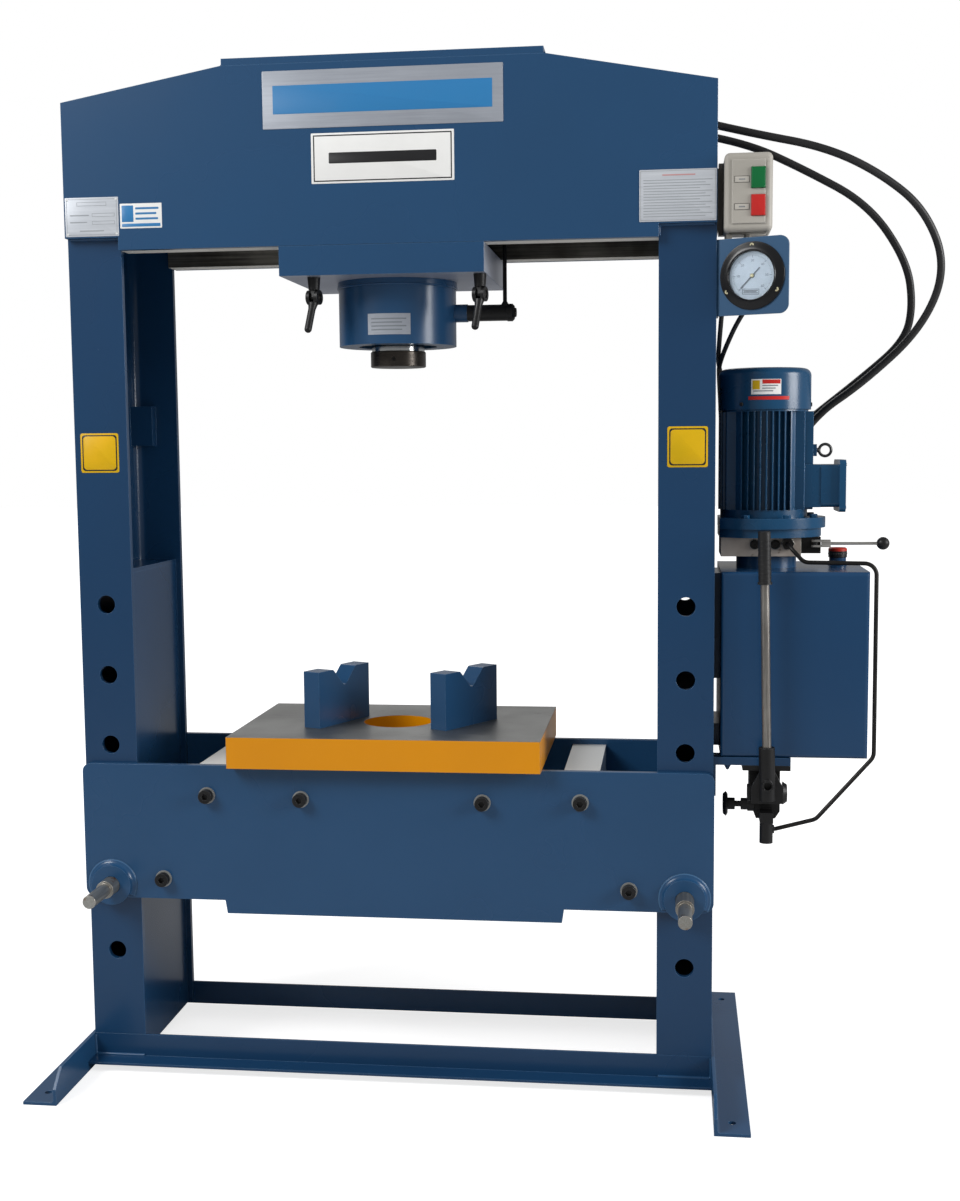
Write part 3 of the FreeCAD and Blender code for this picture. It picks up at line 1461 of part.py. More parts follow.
def build_valve():
    """Directional valve with a pivot tongue, and its hand lever."""
    left = dim.manifold_right
    wide = dim.valve_right - left
    half = dim.valve_half
    top = dim.manifold_top - dim.valve_gap
    body = block("valve_body", (wide, half * 2, top - dim.valve_bottom),
                 (left, -half, dim.valve_bottom))
    x = dim.lever_pivot_x
    y = dim.lever_pivot_y
    z = dim.lever_height
    tongue = dim.lever_tongue
    reach = -half - y
    lug = block("valve_lug", (tongue * 2, reach + tongue, tongue), (x - tongue, y, z - tongue / 2))
    eye = rod("valve_eye", tongue, tongue, (x, y, z - tongue / 2))
    out = dim.valve_pin_out
    pin = rod("valve_pin", dim.lever_pin_radius, dim.fork_tall + out * 2,
              (x, y, z - dim.fork_tall / 2 - out))
    node(fuse("directional_valve", body, lug, eye, pin))
    wide = dim.fork_wide
    tall = dim.fork_tall
    fork = block("lever_fork_blank", (dim.fork_end, wide, tall), (x, y - wide / 2, z - tall / 2))
    nose = rod("lever_fork_nose", wide / 2, tall, (x, y, z - tall / 2))
    rod_start = dim.fork_end - tongue
    bar = rod("lever_bar", dim.lever_rod_radius, dim.knob_reach - rod_start,
              (x + rod_start, y, z), "x")
    knob = ball("lever_knob", dim.knob_radius, (x + dim.knob_reach, y, z))
    solid = fuse("valve_lever_blank", fork, nose, bar, knob)
    slot_tall = tongue + dim.seat_gap * 2
    slot = block("lever_slot", (tongue * 4 + dim.seat_gap, wide * 2, slot_tall),
                 (x - tongue * 2, y - wide, z - slot_tall / 2))
    hole = rod("lever_hole", dim.lever_pin_radius + dim.release_play, tall * 2, (x, y, z - tall))
    node(cut("valve_lever", solid, slot, hole))


# ---------------------------------------------------------------- motor

def motor_fins():
    """Straight fins in four banks, trimmed to a round outline."""
    tall = dim.fin_top - dim.fin_bottom
    across = dim.fin_radius * 2
    wall = dim.fin_wall
    x = dim.motor_x
    count = int(number_of(dim.fin_side_count))
    fins = []
    for k in range(-count, count + 1):
        offset = dim.fin_pitch * k - wall / 2
        fins.append(block(f"fin_front_{k + count}", (wall, across, tall),
                          (x + offset, -dim.fin_radius, dim.fin_bottom)))
        fins.append(block(f"fin_side_{k + count}", (across, wall, tall),
                          (x - dim.fin_radius, offset, dim.fin_bottom)))
    trim = rod("fin_trim", dim.fin_radius, tall, (x, 0, dim.fin_bottom))
    return common("fin_banks", fuse("fin_blank", *fins), trim)


def build_motor():
    x = dim.motor_x
    low = dim.flange_top
    outline = [(0, 0), (dim.bell_radius, 0), (dim.bell_radius, dim.fin_bottom - low),
               (dim.fin_core, dim.fin_bottom - low), (dim.fin_core, dim.fin_top - low),
               (dim.bell_radius, dim.fin_top - low), (dim.bell_radius, dim.body_top - low),
               (0, dim.body_top - low)]
    core = turned("motor_core", outline, (x, 0, low))
    half = dim.upper_pad_half
    upper = block("upper_pad", (dim.upper_pad_x - x, half * 2, dim.fin_top - dim.fin_bottom),
                  (x, -half, dim.fin_bottom))
    half = dim.terminal_pad_half
    box_low = dim.terminal_bottom + dim.terminal_lid_edge
    pad = block("terminal_pad", (dim.terminal_pad_x - x, half * 2, dim.terminal_tall),
                (x, -half, box_low))
    lug_z = dim.eye_height - dim.eye_ring
    lug = block("eye_lug", (dim.terminal_pad_x - x - dim.eye_wire * 2, dim.eye_ring * 2,
                            dim.eye_ring * 2), (x, -dim.eye_ring, lug_z))
    solid = fuse("motor_solid", core, motor_fins(), upper, pad, lug)
    hole = rod("motor_shaft_hole", dim.shaft_radius + dim.shaft_play, dim.shaft_deep * 2,
               (x, 0, dim.body_top - dim.shaft_deep))
    node(cut("motor_housing", solid, hole))
    build_flange()
    build_terminal_box()
    build_lifting_eye()


def build_flange():
    """Two-tier flange, trimmed flat beside the column."""
    x = dim.motor_x
    upper = rod("flange_upper", dim.flange_radius, dim.flange_top - dim.flange_step,
                (x, 0, dim.flange_step))
    lower = rod("flange_lower", dim.flange_low_radius, dim.flange_step - dim.manifold_top,
                (x, 0, dim.manifold_top))
    wide = dim.flange_radius * 2
    trim = block("flange_trim", (wide, wide, dim.flange_radius),
                 (dim.flange_flat - wide, -dim.flange_radius, dim.manifold_top - dim.overlap))
    node(cut("motor_flange", fuse("flange_round", upper, lower), trim))


def build_terminal_box():
    left = dim.terminal_pad_x
    half = dim.terminal_pad_half + dim.terminal_step
    low = dim.terminal_bottom + dim.terminal_lid_edge
    size = (dim.terminal_box_x - left, half * 2, dim.terminal_tall)
    body = soften("terminal_body", block("terminal_blank", size, (left, -half, low)),
                  dim.terminal_lid_edge, lambda edge: straight_along(edge, "x"))
    edge = dim.terminal_lid_edge
    size = (dim.terminal_lid, (half + edge) * 2, dim.terminal_tall + edge * 2)
    lid = soften("terminal_lid", block("terminal_lid_blank", size,
                                       (dim.terminal_box_x, -half - edge, low - edge)),
                 edge, lambda edge: straight_along(edge, "x"))
    gland = hexagon("terminal_gland", dim.button_deep, dim.button_deep,
                    (left + dim.cable_gland_in, half, low + dim.cable_gland_rise), "y")
    node(gather("terminal_box", fuse("terminal_case", body, lid), gland))


def build_lifting_eye():
    loop = ring("eye_loop", dim.eye_ring, dim.eye_wire, (dim.eye_x, 0, dim.eye_height), "y")
    start = dim.terminal_pad_x - dim.eye_wire * 2
    shank = rod("eye_shank", dim.eye_shank, dim.eye_x - dim.eye_ring - start,
                (start, 0, dim.eye_height), "x")
    node(fuse("lifting_eye", loop, shank))


def build_cowl():
    x = dim.motor_x
    low = dim.body_top
    tall = dim.cowl_top - low
    wall = dim.cowl_wall
    rim = dim.cowl_top
    outer = soften("cowl_outer", rod("cowl_outer_blank", dim.cowl_radius, tall, (x, 0, low)),
                   dim.cowl_round, lambda edge: at_value(edge, "z", rim))
    inner = soften("cowl_inner", rod("cowl_inner_blank", dim.cowl_radius - wall, tall - wall,
                                     (x, 0, low)),
                   dim.cowl_round - wall, lambda edge: at_value(edge, "z", rim - wall))
    slots = []
    spoke = dim.cowl_spoke
    for k in range(3):
        radius = dim.fan_hub_radius + dim.cowl_slot_pitch * k
        outline = [(radius, 0), (radius + spoke, 0), (radius + spoke, wall * 3), (radius, wall * 3)]
        slots.append(turned(f"cowl_slot_{k}", outline, (x, 0, rim - wall * 2)))
    cross = fuse("cowl_spokes",
                 block("cowl_spoke_a", (spoke, dim.cowl_radius * 2, wall * 4),
                       (x - spoke / 2, -dim.cowl_radius, rim - wall * 3)),
                 block("cowl_spoke_b", (dim.cowl_radius * 2, spoke, wall * 4),
                       (x - dim.cowl_radius, -spoke / 2, rim - wall * 3)))
    grille = cut("cowl_grille", fuse("cowl_slots", *slots), cross)
    ledge = rod("cowl_ledge", dim.cowl_radius, wall, (x, 0, low))
    ledge = cut("cowl_seat", ledge, rod("cowl_seat_hole", dim.bell_radius - dim.cowl_seat,
                                        wall * 3, (x, 0, low - wall)))
    shell = cut("cowl_shell", outer, inner, grille)
    node(fuse("fan_cowl", shell, ledge))


def build_fan():
    x = dim.motor_x
    hub = rod("fan_hub", dim.fan_hub_radius, dim.fan_tall, (x, 0, dim.fan_bottom))
    start = dim.body_top - dim.shaft_deep + dim.overlap
    shaft = rod("fan_shaft", dim.shaft_radius, dim.fan_bottom + dim.fan_tall - start, (x, 0, start))
    count = int(number_of(dim.fan_blades))
    blades = []
    wall = dim.cowl_wall
    inner = number_of(dim.fan_hub_radius - dim.fan_blade_root)
    for k in range(count):
        angle = 360.0 * k / count
        turn = Rotation(Vector(0, 0, 1), angle)
        at = vector((x, 0, dim.fan_bottom)) + turn.multVec(Vector(inner, -number_of(wall) / 2, 0))
        blades.append(block(f"fan_blade_{k}", (dim.fan_blade_radius - inner, wall, dim.fan_tall),
                            (at.x, at.y, at.z), turn))
    node(fuse("motor_fan", hub, shaft, *blades))


# ---------------------------------------------------------------- hand pump

def build_pump_body():
    x = dim.pump_x
    y = dim.pump_pivot_y
    z = dim.pump_pivot_z
    front = dim.pump_body_front
    wide = dim.pump_barrel_radius
    base = block("pump_foot", (wide * 2, front - dim.pump_foot_front + dim.overlap,
                               dim.pump_foot_top - dim.pump_body_bottom),
                 (x - wide, dim.pump_foot_front, dim.pump_body_bottom))
    barrel = rod("pump_barrel", wide, dim.pump_foot_top - dim.pump_barrel_bottom,
                 (x, dim.pump_foot_front + wide, dim.pump_barrel_bottom))
    pipe_end = pipe_points()[-1]
    nut = rod("pump_pipe_nut", dim.pipe_radius * 2, pipe_end.x - x, (x, pipe_end.y, pipe_end.z),
              "x")
    solid = fuse("pump_solid", pump_block(), base, barrel, nut, *pump_lugs(y, z),
                 *pump_pin(x, y, z), release_housing())
    hole = rod("release_hole", dim.release_stem + dim.release_play,
               dim.release_long + dim.overlap,
               (x - dim.release_start, dim.release_y, dim.release_z), "x")
    node(cut("hand_pump_body", solid, hole))


def pump_block():
    """Mounting plate and main block; the block narrows towards its foot."""
    x = dim.pump_x
    low = dim.pump_body_bottom
    top = dim.pump_plate_top - dim.pump_plate_wall
    half = dim.pump_plate_half
    plate = block("pump_plate", (half * 2, dim.tank_front / 2, dim.pump_plate_wall),
                  (x - half, -dim.tank_front, top))
    left = x - dim.pump_body_left
    right = x + dim.pump_body_right
    outline = [(x - dim.pump_base_half, low), (x + dim.pump_base_half, low),
               (right, low + dim.pump_right_rise), (right, top), (left, top),
               (left, low + dim.pump_left_rise)]
    main = profile_pad("pump_main", "XZ_Plane", outline, dim.pump_body_deep,
                       (0, dim.pump_body_front + dim.pump_body_deep, 0))
    return fuse("pump_block", plate, main)


def pump_lugs(y, z):
    """The two lugs that carry the lever's pin."""
    x = dim.pump_x
    half = dim.pump_lug_half
    radius = dim.lug_radius
    wall = dim.pump_lug_wall
    long = dim.pump_body_front - y + dim.lug_root
    lugs = []
    for k, low in enumerate((x - half, x + half - wall)):
        lugs.append(block(f"pump_lug_{k}", (wall, long, radius * 2), (low, y, z - radius)))
        lugs.append(rod(f"pump_lug_round_{k}", radius, wall, (low, y, z), "x"))
    return lugs


def pump_pin(x, y, z):
    """The lever's pin with a small head on the left and a larger one on the right."""
    gap = dim.ear_gap
    ear = dim.pump_lug_half + gap + dim.ear_wall
    left_out = dim.boss_left_out
    right_out = dim.boss_right_out
    pin = rod("pump_pin", dim.pump_pin_radius, ear * 2 + (left_out + right_out) / 2,
              (x - ear - left_out / 2, y, z), "x")
    left = rod("pump_pin_head_left", dim.small_boss_radius, left_out,
               (x - ear - left_out - gap, y, z), "x")
    right = cone("pump_pin_head_right", dim.boss_radius, dim.small_boss_radius, right_out,
                 (x + ear + gap, y, z), "x")
    return [pin, left, right]


def release_housing():
    """The stub on the left of the pump that carries the release stem."""
    long = dim.release_long
    neck = dim.release_neck
    collar = dim.release_collar
    end = long + dim.overlap
    outline = [(0, 0), (neck, 0), (neck, long - neck), (collar, long - neck), (collar, end),
               (0, end)]
    return turned("release_housing", outline,
                  (dim.pump_x - dim.release_start, dim.release_y, dim.release_z), "x")


def build_release_knob():
    stem = dim.release_stem
    hub = dim.release_hub
    hub_end = dim.release_hub_end
    face = dim.release_disc_face
    wall = dim.release_disc_wall
    tip = dim.release_out + dim.release_seat
    outline = [(0, 0), (face, 0), (dim.release_disc, dim.release_disc_rim), (face, wall),
               (hub, wall), (hub, hub_end), (stem, hub_end), (stem, tip), (0, tip)]
    start = dim.pump_x - dim.release_start - dim.release_out
    node(turned("release_knob", outline, (start, dim.release_y, dim.release_z), "x"))


def lever_frame(thing):
    """Leans a lever piece, built about its pivot, a little to the left."""
    lean = Rotation(Vector(0, 1, 0), number_of(dim.lever_lean))
    return place(thing, (dim.pump_x, dim.pump_pivot_y, dim.pump_pivot_z), lean)


def lever_fork(y):
    """Two ears round the pivot and the yoke plate that narrows to the socket."""
    ear = dim.pump_lug_half + dim.ear_gap
    wall = dim.ear_wall
    radius = dim.ear_radius
    side = ear + wall
    back = y + dim.yoke_back
    outline = [(-side, -radius), (side, -radius), (side, radius), (dim.socket_radius, dim.yoke_rise),
               (-dim.socket_radius, dim.yoke_rise), (-side, radius)]
    yoke = profile_pad("lever_yoke", "XZ_Plane", outline, dim.yoke_wall,
                       (0, back + dim.yoke_wall / 2, 0))
    ears = []
    for k, start in enumerate((-side, ear)):
        ears.append(block(f"lever_ear_{k}", (wall, -back, radius * 2), (start, back, -radius)))
        ears.append(rod(f"lever_ear_round_{k}", radius, wall, (start, 0, 0), "x"))
    fork = fuse("lever_fork", yoke, *ears)
    return place(fork, (dim.pump_x, dim.pump_pivot_y, dim.pump_pivot_z))


def build_pump_lever():
    y = dim.arm_y - dim.pump_pivot_y
    radius = dim.socket_radius
    top = dim.socket_top - dim.pump_pivot_z
    low = -dim.socket_low
    socket = rod("lever_socket", radius, top - low, (0, y, low))
    side_at = (0, y - dim.side_socket_out, dim.side_socket_z - dim.pump_pivot_z)
    side = rod("side_socket", dim.side_socket_radius, dim.side_socket_out, side_at, "y")
    stem = lever_frame(fuse("lever_upper", socket, side))
    bore = rod("lever_socket_bore", dim.tube_radius, top, (0, y, top - dim.tube_deep))
    side_bore = rod("side_socket_bore", dim.side_socket_bore, dim.side_socket_deep, side_at, "y")
    bores = lever_frame(fuse("lever_bores", bore, side_bore))
    long = dim.pump_plate_half * 2
    hole = rod("lever_pin_hole", dim.pump_pin_radius + dim.release_play, long,
               (dim.pump_x - long / 2, dim.pump_pivot_y, dim.pump_pivot_z), "x")
    holder = cut("pump_lever_holder", fuse("pump_lever_blank", stem, lever_fork(y)), bores, hole)
    tube = rod("pump_lever_tube", dim.tube_radius,
               dim.grip_top - dim.grip_radius - dim.socket_top + dim.tube_deep,
               (0, y, top - dim.tube_deep))
    node(gather("pump_lever", holder, lever_frame(gather("pump_lever_tube_part", tube))))
    build_pump_grip(y)


def build_pump_grip(y):
    """Sleeve over the end of the lever tube, with a collar at its lower end."""
    low = dim.grip_bottom - dim.pump_pivot_z
    long = dim.grip_top - dim.grip_bottom
    radius = dim.grip_radius
    inner = dim.tube_radius
    depth = long - radius
    collar = dim.grip_collar
    rise = dim.grip_collar_tall
    edge = dim.grip_edge
    outline = [(inner, 0), (collar, 0), (collar, rise), (radius, rise),
               (radius, long - edge), (radius - edge, long), (0, long), (0, depth),
               (inner, depth)]
    owner = turned("pump_grip", outline, (0, 0, 0))
    lean = Rotation(Vector(0, 1, 0), number_of(dim.lever_lean))
    pivot = vector((dim.pump_x, dim.pump_pivot_y, dim.pump_pivot_z))
    owner.Placement = FreeCAD.Placement(pivot + lean.multVec(vector((0, y, low))), lean)
    node(owner)


# ---------------------------------------------------------------- pipe, hoses and fittings

def bent_path(points, bend=None):
    """Straight runs joined by tangent arcs; without a set bend each arc is as large as
    its two runs allow."""
    corners = [vector(point) for point in points]
    edges = []
    radii = []
    last = corners[0]
    for before, corner, after in zip(corners, corners[1:], corners[2:]):
        back = before - corner
        ahead = after - corner
        half_turn = (math.pi - back.getAngle(ahead)) / 2
        run = min(back.Length, ahead.Length)
        reach = 0.45 * run if bend is None else bend * math.tan(half_turn)
        radius = reach / math.tan(half_turn)
        radii.append(radius)
        back.normalize()
        ahead.normalize()
        first = corner + back * reach
        second = corner + ahead * reach
        middle = (back + ahead).normalize()
        centre = corner + middle * math.hypot(radius, reach)
        edges.append(Part.LineSegment(last, first).toShape())
        edges.append(Part.Arc(first, centre - middle * radius, second).toShape())
        last = second
    edges.append(Part.LineSegment(last, corners[-1]).toShape())
    return Part.Wire(edges), radii


def tube(name, points, diameter, bend=None):
    """A round tube along a route, reported with its length, radii and volume."""
    path, radii = bent_path(points, bend)
    first = vector(points[0])
    heading = vector(points[1]) - first
    ring_edge = Part.Circle(first, heading, diameter / 2).toShape()
    shape = path.makePipeShell([Part.Wire([ring_edge])], True, False)
    thing = DOC.addObject("Part::Feature", name)
    thing.Shape = shape
    expected = math.pi * diameter ** 2 / 4 * path.Length
    print(f"{name}: length {path.Length:.0f}, radii {[round(radius) for radius in radii]}, "
          f"volume {shape.Volume:.0f} of {expected:.0f}")
    return thing


# routes: corner points chosen by hand along the real runs
HOSE_EXITS = (("outer", -39.8, 1848.0), ("inner", 30.2, 1838.3))
OUTER_HOSE = [(606, -40, 1850), (689, -38, 1829), (823, -30, 1802), (926, -15, 1755),
              (1016, 5, 1687), (1063, 30, 1579), (1023, 60, 1466), (915, 95, 1363),
              (823, 125, 1299), (755, 137, 1185), (745, 137, 1085)]
INNER_HOSE = [(606, 30, 1840), (682, 32, 1824), (786, 36, 1775), (916, 52, 1706),
              (993, 66, 1597), (1008, 80, 1511), (996, 98, 1445), (918, 122, 1375),
              (791, 150, 1274), (712, 146, 1180), (700, 137, 1085)]
GAUGE_HOSE = [(695.4, -108.2, 1524.4), (666, -84, 1484), (641, -48, 1430), (630, 0, 1397),
              (631, 45, 1383), (637, 90, 1305), (640, 122, 1222), (653, 136, 1148),
              (655, 137, 1085)]
MOTOR_CABLE = [(641, -142.5, 1616), (637, -134, 1562), (632, -102, 1496), (628.5, -60, 1440),
               (628, -12, 1413), (630, 38, 1402), (638, 82, 1378), (660, 108, 1335),
               (695, 114, 1288), (736, 108, 1240), (782, 120, 1206), (815, 126, 1177),
               (841, 100, 1160), (841, 60, 1160)]
PIPE_STEPS = (((0, 0, 0), (0, -26, -2), (27, -38, -32.5)), ((12, 10, 15.5),), ((12.5, 10, 3),),
              ((92, -6, 7), (15, -2.5, -14.6)))
NEEDLE_REST = 225.0


def pipe_points():
    """The pipe's corners, as steps from its port, from the tank and from the hand pump."""
    port = (dim.pipe_port_x, -dim.manifold_half - dim.pipe_nut_out, dim.pipe_port_z)
    upper = (dim.tank_right, -dim.tank_front, dim.tank_top)
    lower = (dim.tank_right, -dim.tank_front, dim.tank_bottom)
    foot = (dim.pump_x, dim.pump_pivot_y, dim.pump_body_bottom)
    return [vector(base) + Vector(*step)
            for base, steps in zip((port, upper, lower, foot), PIPE_STEPS) for step in steps]


def build_pipe():
    node(tube("pressure_pipe", pipe_points(), number_of(dim.pipe_radius) * 2,
              number_of(dim.pipe_bend)))


def build_hoses():
    hose = number_of(dim.hose)
    thin = number_of(dim.thin_hose)
    node(tube("outer_hose", OUTER_HOSE, hose))
    node(tube("inner_hose", INNER_HOSE, hose))
    node(tube("gauge_hose", GAUGE_HOSE, thin))
    node(tube("motor_cable", MOTOR_CABLE, thin))


def elbow(name, x):
    """A fitting out of the back of the manifold that turns up to its hose."""
    radius = dim.elbow_radius
    start = dim.manifold_half
    leg = rod(name + "_leg", radius, dim.elbow_y - start, (x, start, dim.elbow_z), "y")
    joint = ball(name + "_joint", radius, (x, dim.elbow_y, dim.elbow_z))
    rise = rod(name + "_rise", radius, dim.elbow_top - dim.elbow_z, (x, dim.elbow_y, dim.elbow_z))
    return fuse(name, leg, joint, rise)


def build_fittings():
    pieces = [elbow("outer_elbow", dim.outer_elbow_x), elbow("inner_elbow", dim.inner_elbow_x),
              elbow("gauge_elbow", dim.gauge_elbow_x)]
    web = dim.column_half - dim.channel_wall
    start = OUTER_HOSE[0][0]
    for name, y, z in HOSE_EXITS:
        long = dim.coupling_long
        pieces.append(rod(f"{name}_coupling", dim.coupling_radius, long,
                          (start - long, y, z), "x"))
        pieces.append(fuse(f"{name}_grommet",
                           grommet(name + "_inside", web - dim.grommet_wall, y, z),
                           grommet(name + "_outside", dim.column_half, y, z)))
    node(gather("hose_fittings", *pieces, gauge_union()))


def grommet(name, x, y, z):
    inner = dim.hose_exit_radius - dim.seat_gap
    wall = dim.grommet_wall
    outline = [(inner, 0), (inner + wall * 2, 0), (inner + wall * 2, wall), (inner, wall)]
    return turned(name, outline, (x, y, z), "x")


def gauge_union():
    """The turned-down union on the back of the gauge case."""
    start = (dim.column_half + dim.union_out, -dim.column_depth / 2 + dim.union_in,
             dim.gauge_height - dim.union_drop)
    behind = -dim.gauge_case_deep - dim.elbow_radius
    joint = panel_frame(ball("union_joint", dim.elbow_radius, (0, 0, 0)), behind)
    centre = joint.Placement.Base
    leg = lean_rod("union_leg", dim.union_radius, start, centre)
    stub = panel_frame(rod("union_stub", dim.union_radius, dim.elbow_radius, (0, 0, 0)),
                       behind)
    return fuse("gauge_union", joint, leg, stub)


# ---------------------------------------------------------------- the whole press

def check_and_export():
    DOC.recompute()
    for thing in DOC.Objects:
        for word in ("Invalid", "Error"):
            if word in thing.State:
                raise RuntimeError(f"{thing.Name} is left {thing.State}")
    os.makedirs("parts", exist_ok=True)
    for thing in NODES:
        shape = thing.Shape
        if shape.isNull() or not shape.isValid() or not shape.Solids:
            raise RuntimeError(f"{thing.Label} has no sound solid")
        shape.exportStep(f"parts/{thing.Label}.step")
    print(f"{len(NODES)} sub-parts written")


build_columns()
build_base()
build_head()
build_bed()
node(bed_pin("left_bed_pin", -1, 0))
node(bed_pin("right_bed_pin", 1, dim.pin_drawn))
build_table()
build_carriage()
build_cylinder()
build_port()
build_ram()
build_clamps()
build_gauge()
build_switch_box()
build_tank()
build_manifold()
build_valve()
build_motor()
build_cowl()
build_fan()
build_pump_body()
build_release_knob()
build_pump_lever()
build_pipe()
build_hoses()
build_fittings()
check_and_export()
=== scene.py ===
"""Finishes, trim, hoses and stage for a two-column workshop press."""

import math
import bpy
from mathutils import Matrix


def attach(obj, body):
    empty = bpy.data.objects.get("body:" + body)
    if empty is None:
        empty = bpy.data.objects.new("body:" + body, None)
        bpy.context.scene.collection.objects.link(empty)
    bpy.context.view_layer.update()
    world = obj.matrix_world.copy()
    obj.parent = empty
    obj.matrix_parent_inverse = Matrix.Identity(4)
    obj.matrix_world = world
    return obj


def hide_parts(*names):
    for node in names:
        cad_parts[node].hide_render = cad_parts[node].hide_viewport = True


bl_info = {
    "name": "Workshop Press Dressing",
    "version": (1, 0, 0),
    "blender": (4, 5, 0),
    "location": "View3D > Sidebar > Press",
    "description": "Finishes, trim, hoses and stage of a two-column workshop press",
    "category": "Object",
}

import bmesh
import bpy
from bpy.props import FloatProperty, FloatVectorProperty, IntProperty, PointerProperty
from mathutils import Matrix, Vector

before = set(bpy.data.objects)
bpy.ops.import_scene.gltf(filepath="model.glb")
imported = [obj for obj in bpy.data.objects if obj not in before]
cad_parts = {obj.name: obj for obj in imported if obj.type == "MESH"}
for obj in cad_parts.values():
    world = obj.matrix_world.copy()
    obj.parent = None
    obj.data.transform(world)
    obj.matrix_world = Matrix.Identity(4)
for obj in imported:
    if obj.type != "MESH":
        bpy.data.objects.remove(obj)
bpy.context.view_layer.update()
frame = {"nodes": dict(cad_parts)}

MM = 0.001
MASK_EDGE = 0.4         # half width of the line between two finishes
HEAD_FACE = -175.05     # Y just before the front plate of the head
COLUMN_FACE = -160.05   # Y just before the front of a column
BOX_FACE = -187.55      # Y just before the cover of the switch box
BARREL_X = -4           # the cylinder's centre line, at Y 0
BARREL_RADIUS = 116.5
MOTOR_X = 718           # the motor's centre line, at Y 0
COWL_RADIUS = 89
FILLER = (866, 40)      # the centre line of the filler cap
PIN_X = 567             # the columns' centre lines and the bed pins
PIN_Z = 380
FRONT = (0, -1, 0)
BACK = (0, 1, 0)
RIGHT = (1, 0, 0)
UP = (0, 0, 1)


def screen(red, green, blue):
    """A colour read off a screen, as the linear values that materials use."""
    def linear(value):
        value /= 255
        return value / 12.92 if value <= 0.04045 else ((value + 0.055) / 1.055) ** 2.4
    return (linear(red), linear(green), linear(blue))


def colour_of(label, default):
    return FloatVectorProperty(name=label, description=label + " of the press", subtype="COLOR",
                               size=3, min=0, max=1, default=default)


def length_of(label, default, about):
    return FloatProperty(name=label, description=about, unit="LENGTH", default=default * MM)


# ------------------------------------------------------------------ settings

class PressColours(bpy.types.PropertyGroup):
    """Colours of the press."""
    frame: colour_of("Frame enamel", screen(34, 74, 112))
    frame_deep: colour_of("Frame enamel shade", screen(30, 68, 104))
    # A lighter blue along the frame's edges: painted highlight.
    frame_edge_highlight: colour_of("Frame enamel edge", screen(72, 110, 148))
    motor: colour_of("Motor enamel", screen(20, 69, 104))
    table: colour_of("Table enamel", screen(222, 144, 0))
    steel: colour_of("Ground steel", screen(150, 150, 148))
    steel_dark: colour_of("Ground steel shade", screen(112, 112, 110))
    zinc: colour_of("Light steel", screen(182, 186, 184))
    black: colour_of("Black oxide", screen(30, 30, 31))
    rubber: colour_of("Hose rubber", screen(28, 28, 29))
    casing: colour_of("Switch box", screen(176, 172, 164))
    green: colour_of("Start button", screen(8, 100, 52))
    red: colour_of("Stop button", screen(184, 40, 36))
    plate: colour_of("Maker plate", screen(164, 169, 178))
    paper: colour_of("White label", screen(236, 236, 234))
    ink: colour_of("Label ink", screen(36, 36, 38))
    ink_blue: colour_of("Label blue", screen(44, 122, 178))
    warning: colour_of("Yellow label", screen(200, 164, 4))


class PressSizes(bpy.types.PropertyGroup):
    """Sizes of the trim of the press."""
    seam_ripple: length_of("Weld ripple", 0.5, "Height of the ripple of a weld seam")
    boss_fillet: length_of("Boss fillet", 11.0, "Radius of the fillet round a pin boss")
    rivet: length_of("Rivet radius", 2.2, "Radius of the plate rivets")
    crimp: length_of("Crimp length", 42.0, "Length of the crimped sleeves of the hoses")
    grip_rings: IntProperty(name="Grip rings", description="Rings on the pump handle", default=9)


class PressView(bpy.types.PropertyGroup):
    """Camera and light."""
    lens: FloatProperty(name="Lens", description="Focal length for a 36 mm sensor", default=57.75)
    sky: FloatProperty(name="Sky", description="Strength of the world light", default=0.34)
    key: FloatProperty(name="Key lamp", description="Power of the key lamp", unit="POWER",
                       default=170)
    fill: FloatProperty(name="Fill lamp", description="Power of the fill lamp", unit="POWER",
                        default=115)
    rim: FloatProperty(name="Rear lamp", description="Power of the rear lamp", unit="POWER",
                       default=20)


def colours():
    return bpy.context.scene.press_colours


def sizes():
    return bpy.context.scene.press_sizes


# ------------------------------------------------------------------ shader groups

def link(tree, source, target):
    tree.links.new(source, target)


def add(tree, kind, inputs=None, **settings):
    """A node with its settings and inputs; an input may be a value or a socket."""
    node = tree.nodes.new(kind)
    for key, value in settings.items():
        setattr(node, key, value)
    for key, value in (inputs or {}).items():
        if isinstance(value, bpy.types.NodeSocket):
            link(tree, value, node.inputs[key])
        else:
            node.inputs[key].default_value = value
    return node


def maths(tree, operation, first, second):
    """The result of one arithmetic step on two values or sockets."""
    return add(tree, "ShaderNodeMath", {0: first, 1: second}, operation=operation).outputs[0]


def ranged(tree, value, low=0.0, high=1.0, to_low=0.0, to_high=1.0, smooth=False):
    """A value carried from one range to another and kept inside it."""
    return add(tree, "ShaderNodeMapRange",
               {"Value": value, "From Min": low, "From Max": high, "To Min": to_low,
                "To Max": to_high},
               interpolation_type="SMOOTHSTEP" if smooth else "LINEAR").outputs["Result"]


def blend_sockets(tree, mask, first, second, kind="FLOAT"):
    node = add(tree, "ShaderNodeMix", {"Factor": mask, "A": first, "B": second}, data_type=kind)
    return node.outputs["Result"]


def new_group(name, inputs, outputs):
    """A shader group with named sockets; kinds are Float, Color or Vector."""
    group = bpy.data.node_groups.new(name, "ShaderNodeTree")
    for label, (kind, default) in inputs.items():
        socket = group.interface.new_socket(label, in_out="INPUT",
                                            socket_type="NodeSocket" + kind)
        socket.default_value = default
    for label, kind in outputs.items():
        group.interface.new_socket(label, in_out="OUTPUT", socket_type="NodeSocket" + kind)
    return group, group.nodes.new("NodeGroupInput"), group.nodes.new("NodeGroupOutput")


